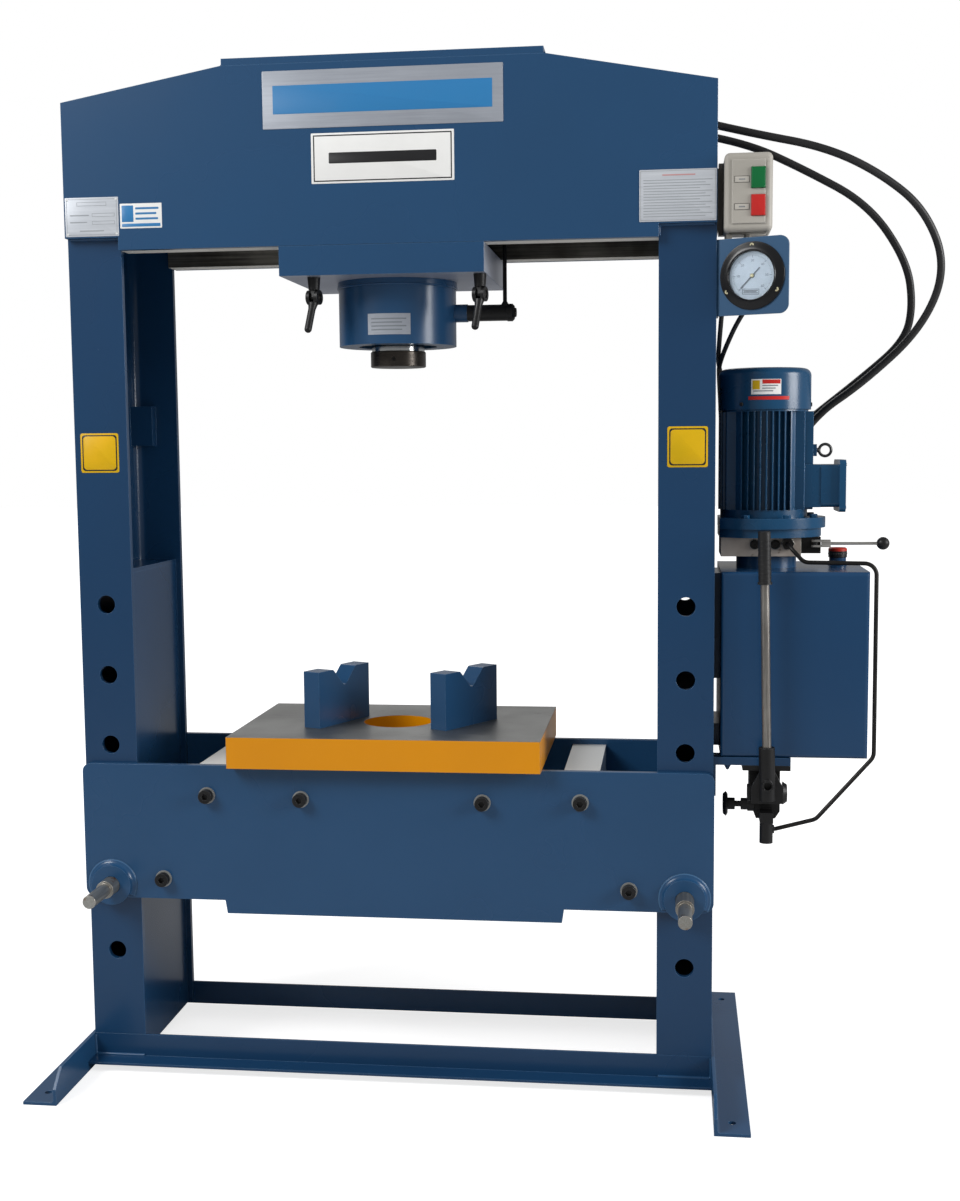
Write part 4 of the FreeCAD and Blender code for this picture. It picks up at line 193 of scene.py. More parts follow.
def coat_group():
    """Enamel or plastic: broad patches of shade, fine texture and varying gloss."""
    group, give, take = new_group(
        "Coat Variation",
        {"Colour": ("Color", (0.5, 0.5, 0.5, 1)), "Shade": ("Color", (0.4, 0.4, 0.4, 1)),
         "Patch Scale": ("Float", 3.0), "Grain Scale": ("Float", 240.0),
         "Rough Low": ("Float", 0.25), "Rough High": ("Float", 0.4)},
        {"Colour": "Color", "Roughness": "Float", "Height": "Float"})
    place = add(group, "ShaderNodeTexCoord").outputs["Object"]
    patch = add(group, "ShaderNodeTexNoise",
                {"Vector": place, "Scale": give.outputs["Patch Scale"], "Detail": 4.0,
                 "Roughness": 0.55})
    grain = add(group, "ShaderNodeTexNoise",
                {"Vector": place, "Scale": give.outputs["Grain Scale"], "Detail": 3.0})
    spread = ranged(group, patch.outputs["Fac"], 0.2, 0.8, smooth=True)
    mixed = blend_sockets(group, spread, give.outputs["Colour"], give.outputs["Shade"], "RGBA")
    gloss = ranged(group, patch.outputs["Fac"], 0.15, 0.85, give.outputs["Rough Low"],
                   give.outputs["Rough High"], smooth=True)
    link(group, mixed, take.inputs["Colour"])
    link(group, gloss, take.inputs["Roughness"])
    link(group, grain.outputs["Fac"], take.inputs["Height"])
    return group


def ground_group():
    """Ground or drawn metal: long fine lines along one axis, with stains."""
    group, give, take = new_group(
        "Ground Lines",
        {"Colour": ("Color", (0.6, 0.6, 0.6, 1)), "Shade": ("Color", (0.4, 0.4, 0.4, 1)),
         "Stretch": ("Vector", (6.0, 420.0, 420.0)), "Stain Scale": ("Float", 7.0),
         "Rough Low": ("Float", 0.25), "Rough High": ("Float", 0.45)},
        {"Colour": "Color", "Roughness": "Float", "Height": "Float"})
    place = add(group, "ShaderNodeTexCoord").outputs["Object"]
    drawn = add(group, "ShaderNodeMapping", {"Vector": place, "Scale": give.outputs["Stretch"]})
    lines = add(group, "ShaderNodeTexNoise",
                {"Vector": drawn.outputs["Vector"], "Scale": 1.0, "Detail": 5.0,
                 "Roughness": 0.7})
    stain = add(group, "ShaderNodeTexNoise",
                {"Vector": place, "Scale": give.outputs["Stain Scale"], "Detail": 6.0})
    both = maths(group, "MULTIPLY", lines.outputs["Fac"], stain.outputs["Fac"])
    spread = ranged(group, both, 0.14, 0.4)
    mixed = blend_sockets(group, spread, give.outputs["Shade"], give.outputs["Colour"], "RGBA")
    gloss = ranged(group, lines.outputs["Fac"], 0.3, 0.7, give.outputs["Rough Low"],
                   give.outputs["Rough High"])
    link(group, mixed, take.inputs["Colour"])
    link(group, gloss, take.inputs["Roughness"])
    link(group, lines.outputs["Fac"], take.inputs["Height"])
    return group


def edge_group():
    """Softened corners, and a mask along them for the edge colour: painted highlight on most
    finishes, worn paint on the table.
    """
    group, give, take = new_group("Worn Edge", {"Radius": ("Float", 0.0015)},
                                  {"Mask": "Float", "Normal": "Vector"})
    round_off = add(group, "ShaderNodeBevel", {"Radius": give.outputs["Radius"]}, samples=4)
    flat = add(group, "ShaderNodeNewGeometry")
    along = add(group, "ShaderNodeVectorMath",
                {0: round_off.outputs["Normal"], 1: flat.outputs["Normal"]},
                operation="DOT_PRODUCT")
    link(group, ranged(group, along.outputs["Value"], 0.985, 0.9), take.inputs["Mask"])
    link(group, round_off.outputs["Normal"], take.inputs["Normal"])
    return group


def fleck_group():
    """Small irregular spots, such as chips, dust or rust."""
    group, give, take = new_group(
        "Flecks", {"Scale": ("Float", 40.0), "Amount": ("Float", 0.3)}, {"Mask": "Float"})
    place = add(group, "ShaderNodeTexCoord").outputs["Object"]
    spots = add(group, "ShaderNodeTexNoise",
                {"Vector": place, "Scale": give.outputs["Scale"], "Detail": 8.0,
                 "Roughness": 0.7})
    level = maths(group, "SUBTRACT", 0.78, give.outputs["Amount"])
    mask = ranged(group, spots.outputs["Fac"], level, maths(group, "ADD", level, 0.08))
    link(group, mask, take.inputs["Mask"])
    return group


def group_node(tree, build, name, inputs):
    group = bpy.data.node_groups.get(name) or build()
    return add(tree, "ShaderNodeGroup", inputs, node_tree=group)


# ------------------------------------------------------------------ finishes

def paint(colour):
    """The RGBA of a colour, given as a setting's name or as three screen values."""
    rgb = getattr(colours(), colour) if isinstance(colour, str) else screen(*colour)
    return tuple(rgb) + (1,)


class Look:
    """What one surface looks like; a stretch gives it ground lines along one axis."""

    def __init__(self, colour, shade, rough=(0.28, 0.42), metallic=0.0, bump=0.15, patch=2.5,
                 grain=260.0, stretch=None):
        self.colour = paint(colour)
        self.shade = paint(shade)
        self.rough = rough
        self.metallic = metallic
        self.bump = bump
        self.patch = patch
        self.grain = grain
        self.stretch = stretch


def surface(tree, look):
    """The group node that a look needs."""
    if look.stretch:
        return group_node(tree, ground_group, "Ground Lines",
                          {"Colour": look.colour, "Shade": look.shade, "Stretch": look.stretch,
                           "Stain Scale": look.patch * 3, "Rough Low": look.rough[0],
                           "Rough High": look.rough[1]})
    return group_node(tree, coat_group, "Coat Variation",
                      {"Colour": look.colour, "Shade": look.shade, "Patch Scale": look.patch,
                       "Grain Scale": look.grain, "Rough Low": look.rough[0],
                       "Rough High": look.rough[1]})


def facing(tree, direction):
    """A mask of the faces that look the given way."""
    normal = add(tree, "ShaderNodeNewGeometry").outputs["Normal"]
    along = add(tree, "ShaderNodeVectorMath", {0: normal, 1: direction},
                operation="DOT_PRODUCT")
    return ranged(tree, along.outputs["Value"], 0.7, 0.8)


def beyond(tree, axis, level):
    """A mask of what lies past a level, in millimetres, along X, Y or Z."""
    place = add(tree, "ShaderNodeTexCoord").outputs["Object"]
    parts = add(tree, "ShaderNodeSeparateXYZ", {"Vector": place})
    return ranged(tree, parts.outputs[axis], (level - MASK_EDGE) * MM,
                  (level + MASK_EDGE) * MM)


def either(tree, first, second):
    return maths(tree, "MAXIMUM", first, second)


def inverse(tree, mask):
    return maths(tree, "SUBTRACT", 1.0, mask)


def make_finish(name, look, second=None, mask=None, edge=None, edge_radius=0.0015,
                flecks=None, coat=0.0):
    """A material of one look, or of two divided by a mask, with edges and flecks."""
    material = bpy.data.materials.new(name)
    material.use_nodes = True
    tree = material.node_tree
    shader = tree.nodes["Principled BSDF"]
    base = surface(tree, look)
    colour = base.outputs["Colour"]
    rough = base.outputs["Roughness"]
    height = base.outputs["Height"]
    shader.inputs["Metallic"].default_value = look.metallic
    shader.inputs["Coat Weight"].default_value = coat
    shader.inputs["Coat Roughness"].default_value = 0.12
    shader.inputs["Specular IOR Level"].default_value = 0.35
    if second:
        where = mask(tree)
        other = surface(tree, second)
        colour = blend_sockets(tree, where, colour, other.outputs["Colour"], "RGBA")
        rough = blend_sockets(tree, where, rough, other.outputs["Roughness"])
        height = blend_sockets(tree, where, height, other.outputs["Height"])
        if look.metallic != second.metallic:
            link(tree, blend_sockets(tree, where, look.metallic, second.metallic),
                 shader.inputs["Metallic"])
    if flecks:
        tint, scale, amount = flecks
        spots = group_node(tree, fleck_group, "Flecks", {"Scale": scale, "Amount": amount})
        colour = blend_sockets(tree, spots.outputs["Mask"], colour, paint(tint), "RGBA")
    soft = group_node(tree, edge_group, "Worn Edge", {"Radius": edge_radius})
    # The lighter edge colour is a painted highlight along the corners; the table's greyish edge is
    # worn paint.
    if edge:
        colour = blend_sockets(tree, soft.outputs["Mask"], colour, paint(edge), "RGBA")
    bump = add(tree, "ShaderNodeBump", {"Strength": look.bump, "Distance": 0.0004,
                                        "Height": height, "Normal": soft.outputs["Normal"]})
    link(tree, colour, shader.inputs["Base Color"])
    link(tree, rough, shader.inputs["Roughness"])
    link(tree, bump.outputs["Normal"], shader.inputs["Normal"])
    return material


def make_glass(name):
    material = bpy.data.materials.new(name)
    material.use_nodes = True
    shader = material.node_tree.nodes["Principled BSDF"]
    shader.inputs["Base Color"].default_value = (0.96, 0.98, 0.98, 1)
    shader.inputs["Roughness"].default_value = 0.03
    shader.inputs["IOR"].default_value = 1.1
    shader.inputs["Transmission Weight"].default_value = 1.0
    return material


def table_sides(tree):
    return inverse(tree, facing(tree, UP))


def washer_band(tree):
    return inverse(tree, either(tree, beyond(tree, "Y", 177.3),
                                inverse(tree, beyond(tree, "Y", -177.3))))


def carriage_bare(tree):
    return either(tree, facing(tree, (0, 0, -1)), facing(tree, RIGHT))


# Paper and print: colour, shade, gloss and size of the patches.
LABEL_FINISHES = {
    "paper_white": ("paper", (226, 226, 224), (0.3, 0.42), 8),
    "ink_black": ("ink", (26, 26, 28), (0.32, 0.45), 8),
    "ink_grey": ((128, 134, 140), (110, 116, 122), (0.35, 0.5), 8),
    "ink_blue": ("ink_blue", (54, 120, 172), (0.3, 0.42), 4),
    "warning_yellow": ("warning", (228, 176, 8), (0.3, 0.42), 8),
    "warning_red": ((200, 40, 34), (180, 30, 26), (0.3, 0.42), 8),
    "label_beige": ((186, 182, 174), (176, 172, 164), (0.36, 0.5), 8),
    "warning_pale": ((196, 150, 150), (186, 140, 140), (0.35, 0.5), 8),
    "ink_pale": ((158, 163, 168), (146, 151, 156), (0.35, 0.5), 8),
}


def make_finishes():
    """Every material of the press, under the name that the pieces ask for."""
    enamel = Look("frame", "frame_deep", (0.2, 0.34), bump=0.1, patch=1.6, grain=190)
    ground = Look("steel", "steel_dark", (0.26, 0.46), metallic=0.85, bump=0.2,
                  stretch=(9.0, 300.0, 9.0))
    light = Look("zinc", "steel", (0.34, 0.52), metallic=0.55, bump=0.2, patch=4)
    black = Look("black", (18, 18, 19), (0.32, 0.52), metallic=0.2, bump=0.3, patch=12)
    oxide = Look("black", (44, 42, 40), (0.3, 0.5), metallic=0.6, bump=0.2, patch=20)
    rubber = Look("rubber", (40, 40, 41), (0.36, 0.5), bump=0.25, patch=9, grain=500)
    motor = Look("motor", (17, 60, 92), (0.2, 0.36), bump=0.25, patch=6, grain=160)
    # Each lighter edge colour below is a painted highlight along the corners; only the table's
    # greyish edge is worn paint.
    make_finish("frame_enamel", enamel, edge="frame_edge_highlight", coat=0.08,
                flecks=((96, 112, 128), 60, 0.02))
    # A darker copy of the frame enamel for the columns, base angles and oil tank: painted shade
    # for the weaker light that falls on them.
    make_finish("column_enamel", Look((24, 62, 98), (21, 56, 90), (0.2, 0.34), bump=0.1, patch=1.6,
                grain=190), edge=(60, 98, 136), coat=0.08, flecks=((96, 112, 128), 60, 0.02))
    make_finish("motor_enamel", motor, edge=(62, 102, 140), edge_radius=0.001, coat=0.06)
    make_finish("table_finish", ground, Look("table", (214, 138, 2), (0.26, 0.4), bump=0.15,
                patch=3), table_sides, edge=(120, 116, 104), flecks=((120, 92, 40), 70, 0.05))
    make_finish("ground_steel", ground, edge=(190, 190, 188))
    make_finish("rail_steel", Look((150, 146, 136), (70, 66, 60), (0.3, 0.5), metallic=0.8,
                stretch=(3.0, 200.0, 200.0)), Look((244, 242, 236), (206, 202, 192), (0.4, 0.6),
                stretch=(3.0, 200.0, 200.0)), lambda tree: facing(tree, (0, 0, -1)))
    make_finish("light_steel", light, edge=(214, 216, 214), flecks=((140, 128, 110), 90, 0.05))
    make_finish("bolt_finish", black, light, washer_band, edge=(92, 92, 92), edge_radius=0.0008)
    make_finish("lever_finish", Look((172, 170, 166), (112, 110, 106), (0.3, 0.46), metallic=0.55,
                stretch=(8.0, 300.0, 300.0)), black, lambda tree: beyond(tree, "X", 927),
                edge=(150, 150, 146), edge_radius=0.0008)
    make_finish("eye_steel", Look((92, 92, 92), (60, 60, 60), (0.26, 0.42), metallic=0.85,
                bump=0.2, patch=30), edge=(140, 140, 138), edge_radius=0.0006)
    make_finish("black_coat", black, edge=(58, 58, 60), edge_radius=0.001)
    make_finish("port_finish", black, enamel, lambda tree: inverse(tree, beyond(tree, "X", 137)),
                edge=(58, 58, 60), edge_radius=0.001)
    make_finish("black_oxide", oxide, edge=(96, 92, 88), edge_radius=0.001)
    make_finish("hose_rubber", rubber, edge_radius=0.0004)
    make_finish("pump_finish", black, Look((168, 164, 158), (120, 116, 112), (0.22, 0.4),
                metallic=0.9, stretch=(300.0, 300.0, 8.0)), lambda tree: beyond(tree, "Z", 679),
                edge=(52, 52, 54))
    make_finish("carriage_finish", enamel, Look((176, 182, 196), (150, 156, 172), (0.34, 0.52),
                metallic=0.4, bump=0.2, patch=4), carriage_bare, edge="frame_edge_highlight", coat=0.06)
    make_finish("chrome_rod", Look((206, 208, 208), (180, 182, 182), (0.08, 0.2), metallic=1.0,
                bump=0.05, stretch=(20.0, 20.0, 500.0)))
    make_finish("nose_finish", Look((44, 41, 40), (74, 68, 62), (0.22, 0.4), metallic=0.7,
                stretch=(30.0, 30.0, 600.0)), edge=(120, 112, 104), edge_radius=0.001)
    make_finish("pin_steel", Look((178, 178, 174), (136, 134, 128), (0.28, 0.48), metallic=0.8,
                stretch=(300.0, 6.0, 300.0)), edge=(196, 188, 176),
                flecks=((126, 88, 56), 60, 0.2))
    make_finish("manifold_finish", Look((208, 198, 188), (152, 138, 126), (0.4, 0.6),
                metallic=0.15, bump=0.35, patch=14), oxide,
                lambda tree: inverse(tree, beyond(tree, "Y", -70.3)), edge=(206, 206, 200),
                flecks=((96, 74, 54), 50, 0.16))
    make_finish("casing_plastic", Look("casing", (160, 156, 148), (0.4, 0.55), bump=0.2, patch=6,
                grain=700), edge=(198, 195, 188), edge_radius=0.002)
    make_finish("dark_plastic", Look((40, 40, 42), (28, 28, 30), (0.35, 0.5), bump=0.2, patch=10,
                grain=600), edge=(70, 70, 72))
    # The upper colour of the switch box base is much lighter than its dark grey-brown plastic:
    # painted light where the base lies in the column's shadow.
    make_finish("base_plastic", Look((150, 144, 136), (128, 122, 114), bump=0.2),
                Look((168, 164, 156), (146, 142, 134), (0.35, 0.5)),
                lambda tree: inverse(tree, beyond(tree, "Z", 1628)))
    make_finish("green_button", Look("green", (6, 104, 54), (0.28, 0.4), bump=0.1, patch=20),
                edge=(70, 160, 110), edge_radius=0.001)
    make_finish("red_button", Look("red", (190, 38, 36), (0.28, 0.4), bump=0.1, patch=20),
                edge=(236, 110, 100), edge_radius=0.001)
    make_finish("cap_finish", Look((26, 26, 27), (18, 18, 18), bump=0.2, patch=20),
                Look((206, 48, 26), (170, 36, 20), (0.3, 0.45)),
                lambda tree: beyond(tree, "Z", 1032.5))
    make_finish("dial_paint", Look((170, 181, 195), (163, 174, 187), (0.4, 0.5), bump=0.02,
                patch=20))
    make_finish("plate_alloy", Look("plate", (150, 155, 164), (0.34, 0.5), metallic=0.25, bump=0.1,
                stretch=(8.0, 300.0, 300.0)), edge_radius=0.0003)
    make_finish("plate_light", Look((204, 208, 214), (184, 189, 196), (0.34, 0.5), metallic=0.2,
                bump=0.1, stretch=(8.0, 300.0, 300.0)), edge_radius=0.0003)
    make_finish("gauge_black", Look((20, 21, 24), (13, 13, 15), (0.24, 0.36), bump=0.08, patch=10),
                edge=(34, 35, 38), edge_radius=0.0006)
    make_finish("panel_enamel", Look((52, 90, 126), (46, 82, 116), (0.22, 0.36), bump=0.1,
                patch=3), edge=(96, 128, 158), coat=0.08)
    make_finish("dial_print", Look((112, 118, 128), (98, 104, 112), (0.35, 0.5), bump=0.03,
                patch=8), edge_radius=0.0002)
    make_finish("screw_cream", Look((206, 200, 168), (170, 162, 128), (0.3, 0.45), metallic=0.3,
                patch=30), edge=(60, 58, 50), edge_radius=0.0004)
    for name, (colour, shade, rough, patch) in LABEL_FINISHES.items():
        make_finish(name, Look(colour, shade, rough, bump=0.03, patch=patch),
                    edge_radius=0.0003)
    make_glass("gauge_glass_clear")


def finish(name):
    return bpy.data.materials[name]


NODE_FINISHES = {
    # The columns, base angles and oil tank take the darker enamel, which is painted shade.
    "column_enamel": ("left_column", "right_column", "base_angles", "oil_tank"),
    "panel_enamel": ("gauge_panel",),
    "motor_enamel": ("motor_flange", "motor_housing", "fan_cowl", "terminal_box"),
    "table_finish": ("table_plate",),
    "rail_steel": ("head_rails",),
    "light_steel": ("bed_cross_bars", "hose_fittings"),
    "eye_steel": ("lifting_eye",),
    "lever_finish": ("valve_lever",),
    "bolt_finish": ("bed_bolts",),
    "port_finish": ("port_cylinder",),
    "black_coat": ("directional_valve", "hand_pump_body", "release_knob", "clamp_stems",
                   "left_clamp_lever", "right_clamp_lever"),
    "black_oxide": ("cylinder_gland", "pressure_pipe"),
    "dial_print": ("gauge_needle",),
    "gauge_black": ("gauge_case",),
    "hose_rubber": ("outer_hose", "inner_hose", "gauge_hose", "motor_cable", "pump_grip"),
    "pump_finish": ("pump_lever",),
    "carriage_finish": ("carriage_block",),
    "chrome_rod": ("ram_rod",),
    "nose_finish": ("ram_nose",),
    "pin_steel": ("left_bed_pin", "right_bed_pin"),
    "manifold_finish": ("manifold_block",),
    "casing_plastic": ("switch_box_cover",),
    "dark_plastic": ("motor_fan",),
    # The switch box base takes the plastic that is painted lighter, as painted light.
    "base_plastic": ("switch_box_base",),
    "green_button": ("start_button",),
    "red_button": ("stop_button",),
    "cap_finish": ("filler_cap",),
    "dial_paint": ("gauge_dial",),
    "gauge_glass_clear": ("gauge_glass",),
}


def dress_nodes():
    """Gives each CAD node its finish and smooth shading on its round faces."""
    by_node = {node: name for name, nodes in NODE_FINISHES.items() for node in nodes}
    for name, obj in frame["nodes"].items():
        mesh = obj.data
        mesh.materials.clear()
        mesh.materials.append(finish(by_node.get(name, "frame_enamel")))
        mesh.polygons.foreach_set("use_smooth", [True] * len(mesh.polygons))
        weld = obj.modifiers.new("join", "WELD")
        weld.merge_threshold = 0.00001
        split = obj.modifiers.new("corners", "EDGE_SPLIT")
        split.split_angle = math.radians(32)


# ------------------------------------------------------------------ shape helpers

def spot(x, y, z):
    return Vector((x, y, z)) * MM


def face_frame(x, y, z, outward):
    """A matrix whose Z points out of a face, its Y up the face and its X along it."""
    out = Vector(outward).normalized()
    across = Vector(UP).cross(out).normalized()
    matrix = Matrix((across, out.cross(across), out)).transposed().to_4x4()
    matrix.translation = spot(x, y, z)
    return matrix


def to_mesh(name, shape, matrix=None):
    if matrix is not None:
        bmesh.ops.transform(shape, matrix=matrix, verts=shape.verts)
    bmesh.ops.remove_doubles(shape, verts=shape.verts, dist=1e-6)
    bmesh.ops.recalc_face_normals(shape, faces=shape.faces)
    mesh = bpy.data.meshes.new(name)
    shape.to_mesh(mesh)
    shape.free()
    return mesh


def settle(name, mesh, finish_name, body="frame", sharp=35):
    """Turns a mesh into a finished piece that rides on a body."""
    mesh.materials.clear()
    mesh.materials.append(finish(finish_name))
    mesh.polygons.foreach_set("material_index", [0] * len(mesh.polygons))
    mesh.polygons.foreach_set("use_smooth", [True] * len(mesh.polygons))
    mesh.set_sharp_from_angle(angle=math.radians(sharp))
    obj = bpy.data.objects.new(name, mesh)
    bpy.context.scene.collection.objects.link(obj)
    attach(obj, body)
    return obj


def lathe(profile, steps=48, closed=False):
    """A shape turned about Z from (radius, height) pairs in millimetres."""
    shape = bmesh.new()
    rings = []
    for radius, height in profile:
        if radius < 1e-6:
            rings.append([shape.verts.new((0, 0, height * MM))])
            continue
        rings.append([shape.verts.new((radius * MM * math.cos(2 * math.pi * k / steps),
                                       radius * MM * math.sin(2 * math.pi * k / steps),
                                       height * MM)) for k in range(steps)])
    pairs = list(zip(rings, rings[1:]))
    if closed:
        pairs.append((rings[-1], rings[0]))
    for low, high in pairs:
        for k in range(steps):
            after = (k + 1) % steps
            if len(low) == 1:
                shape.faces.new((low[0], high[k], high[after]))
            elif len(high) == 1:
                shape.faces.new((low[k], low[after], high[0]))
            else:
                shape.faces.new((low[k], low[after], high[after], high[k]))
    return shape


def rounded(wide, tall, radius, steps=6):
    """The outline of a rectangle with round corners, about its middle."""
    points = []
    for k, (sx, sy) in enumerate(((1, 1), (-1, 1), (-1, -1), (1, -1))):
        for step in range(steps + 1):
            angle = math.pi / 2 * (k + step / steps)
            points.append((sx * (wide / 2 - radius) + radius * math.cos(angle),
                           sy * (tall / 2 - radius) + radius * math.sin(angle)))
    return points


def slab(outline, thick, bevel=0.0, segments=2):
    """An outline in millimetres given a thickness along Z, with its front rim rounded."""
    shape = bmesh.new()
    base = shape.faces.new([shape.verts.new((x * MM, y * MM, 0)) for x, y in outline])
    grown = bmesh.ops.extrude_face_region(shape, geom=[base])["geom"]
    bmesh.ops.translate(shape, vec=(0, 0, thick * MM),
                        verts=[item for item in grown if isinstance(item, bmesh.types.BMVert)])
    if bevel:
        rim = [edge for edge in shape.edges
               if all(vert.co.z > thick * MM * 0.99 for vert in edge.verts)]
        bmesh.ops.bevel(shape, geom=rim, offset=bevel * MM, segments=segments, profile=0.5,
                        affect="EDGES")
    return shape


def plaque(name, wide, tall, matrix, finish_name, thick=0.8, corner=2.0):
    shape = slab(rounded(wide, tall, corner), thick, thick * 0.4)
    return settle(name, to_mesh(name, shape, matrix), finish_name)


def merged(shapes):
    """Several bmesh shapes as one."""
    whole = bmesh.new()
    for shape, matrix in shapes:
        if matrix is not None:
            bmesh.ops.transform(shape, matrix=matrix, verts=shape.verts)
        part = bpy.data.meshes.new("part")
        shape.to_mesh(part)
        shape.free()
        whole.from_mesh(part)
        bpy.data.meshes.remove(part)
    return whole


def shift(x=0.0, y=0.0, z=0.0):
    return Matrix.Translation(spot(x, y, z))


# ------------------------------------------------------------------ geometry nodes

def new_tree(name, inputs):
    """A geometry tree; inputs are name: (kind, default)."""
    tree = bpy.data.node_groups.new(name, "GeometryNodeTree")
    tree.interface.new_socket("Geometry", in_out="INPUT", socket_type="NodeSocketGeometry")
    for label, (kind, default) in inputs.items():
        socket = tree.interface.new_socket(label, in_out="INPUT",
                                           socket_type="NodeSocket" + kind)
        if default is not None:
            socket.default_value = default
    tree.interface.new_socket("Geometry", in_out="OUTPUT", socket_type="NodeSocketGeometry")
    return tree, tree.nodes.new("NodeGroupInput"), tree.nodes.new("NodeGroupOutput")


def close_tree(tree, give, take, geometry):
    """Every tree ends in Realize Instances and Set Material."""
    real = add(tree, "GeometryNodeRealizeInstances", {"Geometry": geometry})
    painted = add(tree, "GeometryNodeSetMaterial", {"Geometry": real.outputs["Geometry"],
                                                    "Material": give.outputs["Material"]})
    link(tree, painted.outputs["Geometry"], take.inputs["Geometry"])


def aligned(tree, axis="Z"):
    """The rotation that turns an axis to the stored facing of a point."""
    facing_of = add(tree, "GeometryNodeInputNamedAttribute", {"Name": "facing"},
                    data_type="FLOAT_VECTOR")
    turn = add(tree, "FunctionNodeAlignRotationToVector",
               {"Vector": facing_of.outputs["Attribute"]}, axis=axis)
    return turn.outputs["Rotation"]


def fastener_tree():
    """Bolt, screw or rivet heads with a chamfer and a recess, one on each point."""
    tree, give, take = new_tree("Fastener Heads", {
        "Sides": ("Int", 24), "Radius": ("Float", 0.005), "Height": ("Float", 0.004),
        "Chamfer": ("Float", 0.001), "Recess": ("Float", 0.5), "Depth": ("Float", 0.001),
        "Material": ("Material", None)})
    drum = add(tree, "GeometryNodeMeshCylinder",
               {"Vertices": give.outputs["Sides"], "Radius": give.outputs["Radius"],
                "Depth": give.outputs["Height"]})
    normal = add(tree, "ShaderNodeSeparateXYZ",
                 {"Vector": add(tree, "GeometryNodeInputNormal").outputs["Normal"]})
    top = add(tree, "FunctionNodeCompare", {"A": normal.outputs["Z"], "B": 0.5},
              operation="GREATER_THAN")
    slope = add(tree, "GeometryNodeExtrudeMesh",
                {"Mesh": drum.outputs["Mesh"], "Selection": top.outputs["Result"],
                 "Offset Scale": give.outputs["Chamfer"], "Individual": False})
    ratio = maths(tree, "DIVIDE", give.outputs["Chamfer"], give.outputs["Radius"])
    drawn = add(tree, "GeometryNodeScaleElements",
                {"Geometry": slope.outputs["Mesh"], "Selection": slope.outputs["Top"],
                 "Scale": inverse(tree, ratio)})
    rim = add(tree, "GeometryNodeExtrudeMesh",
              {"Mesh": drawn.outputs["Geometry"], "Selection": slope.outputs["Top"],
               "Offset Scale": 0.0, "Individual": False})
    inner = add(tree, "GeometryNodeScaleElements",
                {"Geometry": rim.outputs["Mesh"], "Selection": rim.outputs["Top"],
                 "Scale": give.outputs["Recess"]})
    sunk = add(tree, "GeometryNodeExtrudeMesh",
               {"Mesh": inner.outputs["Geometry"], "Selection": rim.outputs["Top"],
                "Offset Scale": maths(tree, "MULTIPLY", give.outputs["Depth"], -1.0),
                "Individual": False})
    lift = add(tree, "ShaderNodeCombineXYZ",
               {"Z": maths(tree, "MULTIPLY", give.outputs["Height"], 0.5)})
    raised = add(tree, "GeometryNodeTransform", {"Geometry": sunk.outputs["Mesh"],
                                                 "Translation": lift.outputs["Vector"]})
    spread = add(tree, "GeometryNodeInstanceOnPoints",
                 {"Points": give.outputs["Geometry"], "Instance": raised.outputs["Geometry"],
                  "Rotation": aligned(tree)})
    close_tree(tree, give, take, spread.outputs["Instances"])
    return tree


def seam_tree():
    """A rippled weld seam along each edge path."""
    tree, give, take = new_tree("Weld Seam", {
        "Radius": ("Float", 0.005), "Step": ("Float", 0.003), "Ripple": ("Float", 0.0005),
        "Material": ("Material", None)})
    path = add(tree, "GeometryNodeMeshToCurve", {"Mesh": give.outputs["Geometry"]})
    even = add(tree, "GeometryNodeResampleCurve", {"Curve": path.outputs["Curve"],
                                                   "Length": give.outputs["Step"]},
               mode="LENGTH")
    section = add(tree, "GeometryNodeCurvePrimitiveCircle",
                  {"Resolution": 10, "Radius": give.outputs["Radius"]})
    skin = add(tree, "GeometryNodeCurveToMesh",
               {"Curve": even.outputs["Curve"], "Profile Curve": section.outputs["Curve"],
                "Fill Caps": True})
    wave = add(tree, "ShaderNodeTexNoise", {"Scale": 260.0, "Detail": 2.0})
    centred = maths(tree, "SUBTRACT", wave.outputs["Fac"], 0.5)
    size = maths(tree, "MULTIPLY", centred, give.outputs["Ripple"])
    push = add(tree, "ShaderNodeVectorMath",
               {0: add(tree, "GeometryNodeInputNormal").outputs["Normal"],
                "Scale": size}, operation="SCALE")
    rough = add(tree, "GeometryNodeSetPosition", {"Geometry": skin.outputs["Mesh"],
                                                  "Offset": push.outputs["Vector"]})
    close_tree(tree, give, take, rough.outputs["Geometry"])
    return tree


def ring_tree():
    """A round ring on each point, such as grip ribs or crimp ridges."""
    tree, give, take = new_tree("Ring Stack", {
        "Radius": ("Float", 0.01), "Wire": ("Float", 0.001), "Material": ("Material", None)})
    path = add(tree, "GeometryNodeCurvePrimitiveCircle",
               {"Resolution": 40, "Radius": give.outputs["Radius"]})
    section = add(tree, "GeometryNodeCurvePrimitiveCircle",
                  {"Resolution": 10, "Radius": give.outputs["Wire"]})
    loop = add(tree, "GeometryNodeCurveToMesh", {"Curve": path.outputs["Curve"],
                                                 "Profile Curve": section.outputs["Curve"]})
    spread = add(tree, "GeometryNodeInstanceOnPoints",
                 {"Points": give.outputs["Geometry"], "Instance": loop.outputs["Mesh"],
                  "Rotation": aligned(tree)})
    close_tree(tree, give, take, spread.outputs["Instances"])
    return tree


def tick_tree():
    """A small block on each point, turned to the point's facing."""
    tree, give, take = new_tree("Dial Ticks", {
        "Size": ("Vector", (0.004, 0.0006, 0.0002)), "Material": ("Material", None)})
    block = add(tree, "GeometryNodeMeshCube", {"Size": give.outputs["Size"]})
    spread = add(tree, "GeometryNodeInstanceOnPoints",
                 {"Points": give.outputs["Geometry"], "Instance": block.outputs["Mesh"],
                  "Rotation": aligned(tree, "X")})
    close_tree(tree, give, take, spread.outputs["Instances"])
    return tree


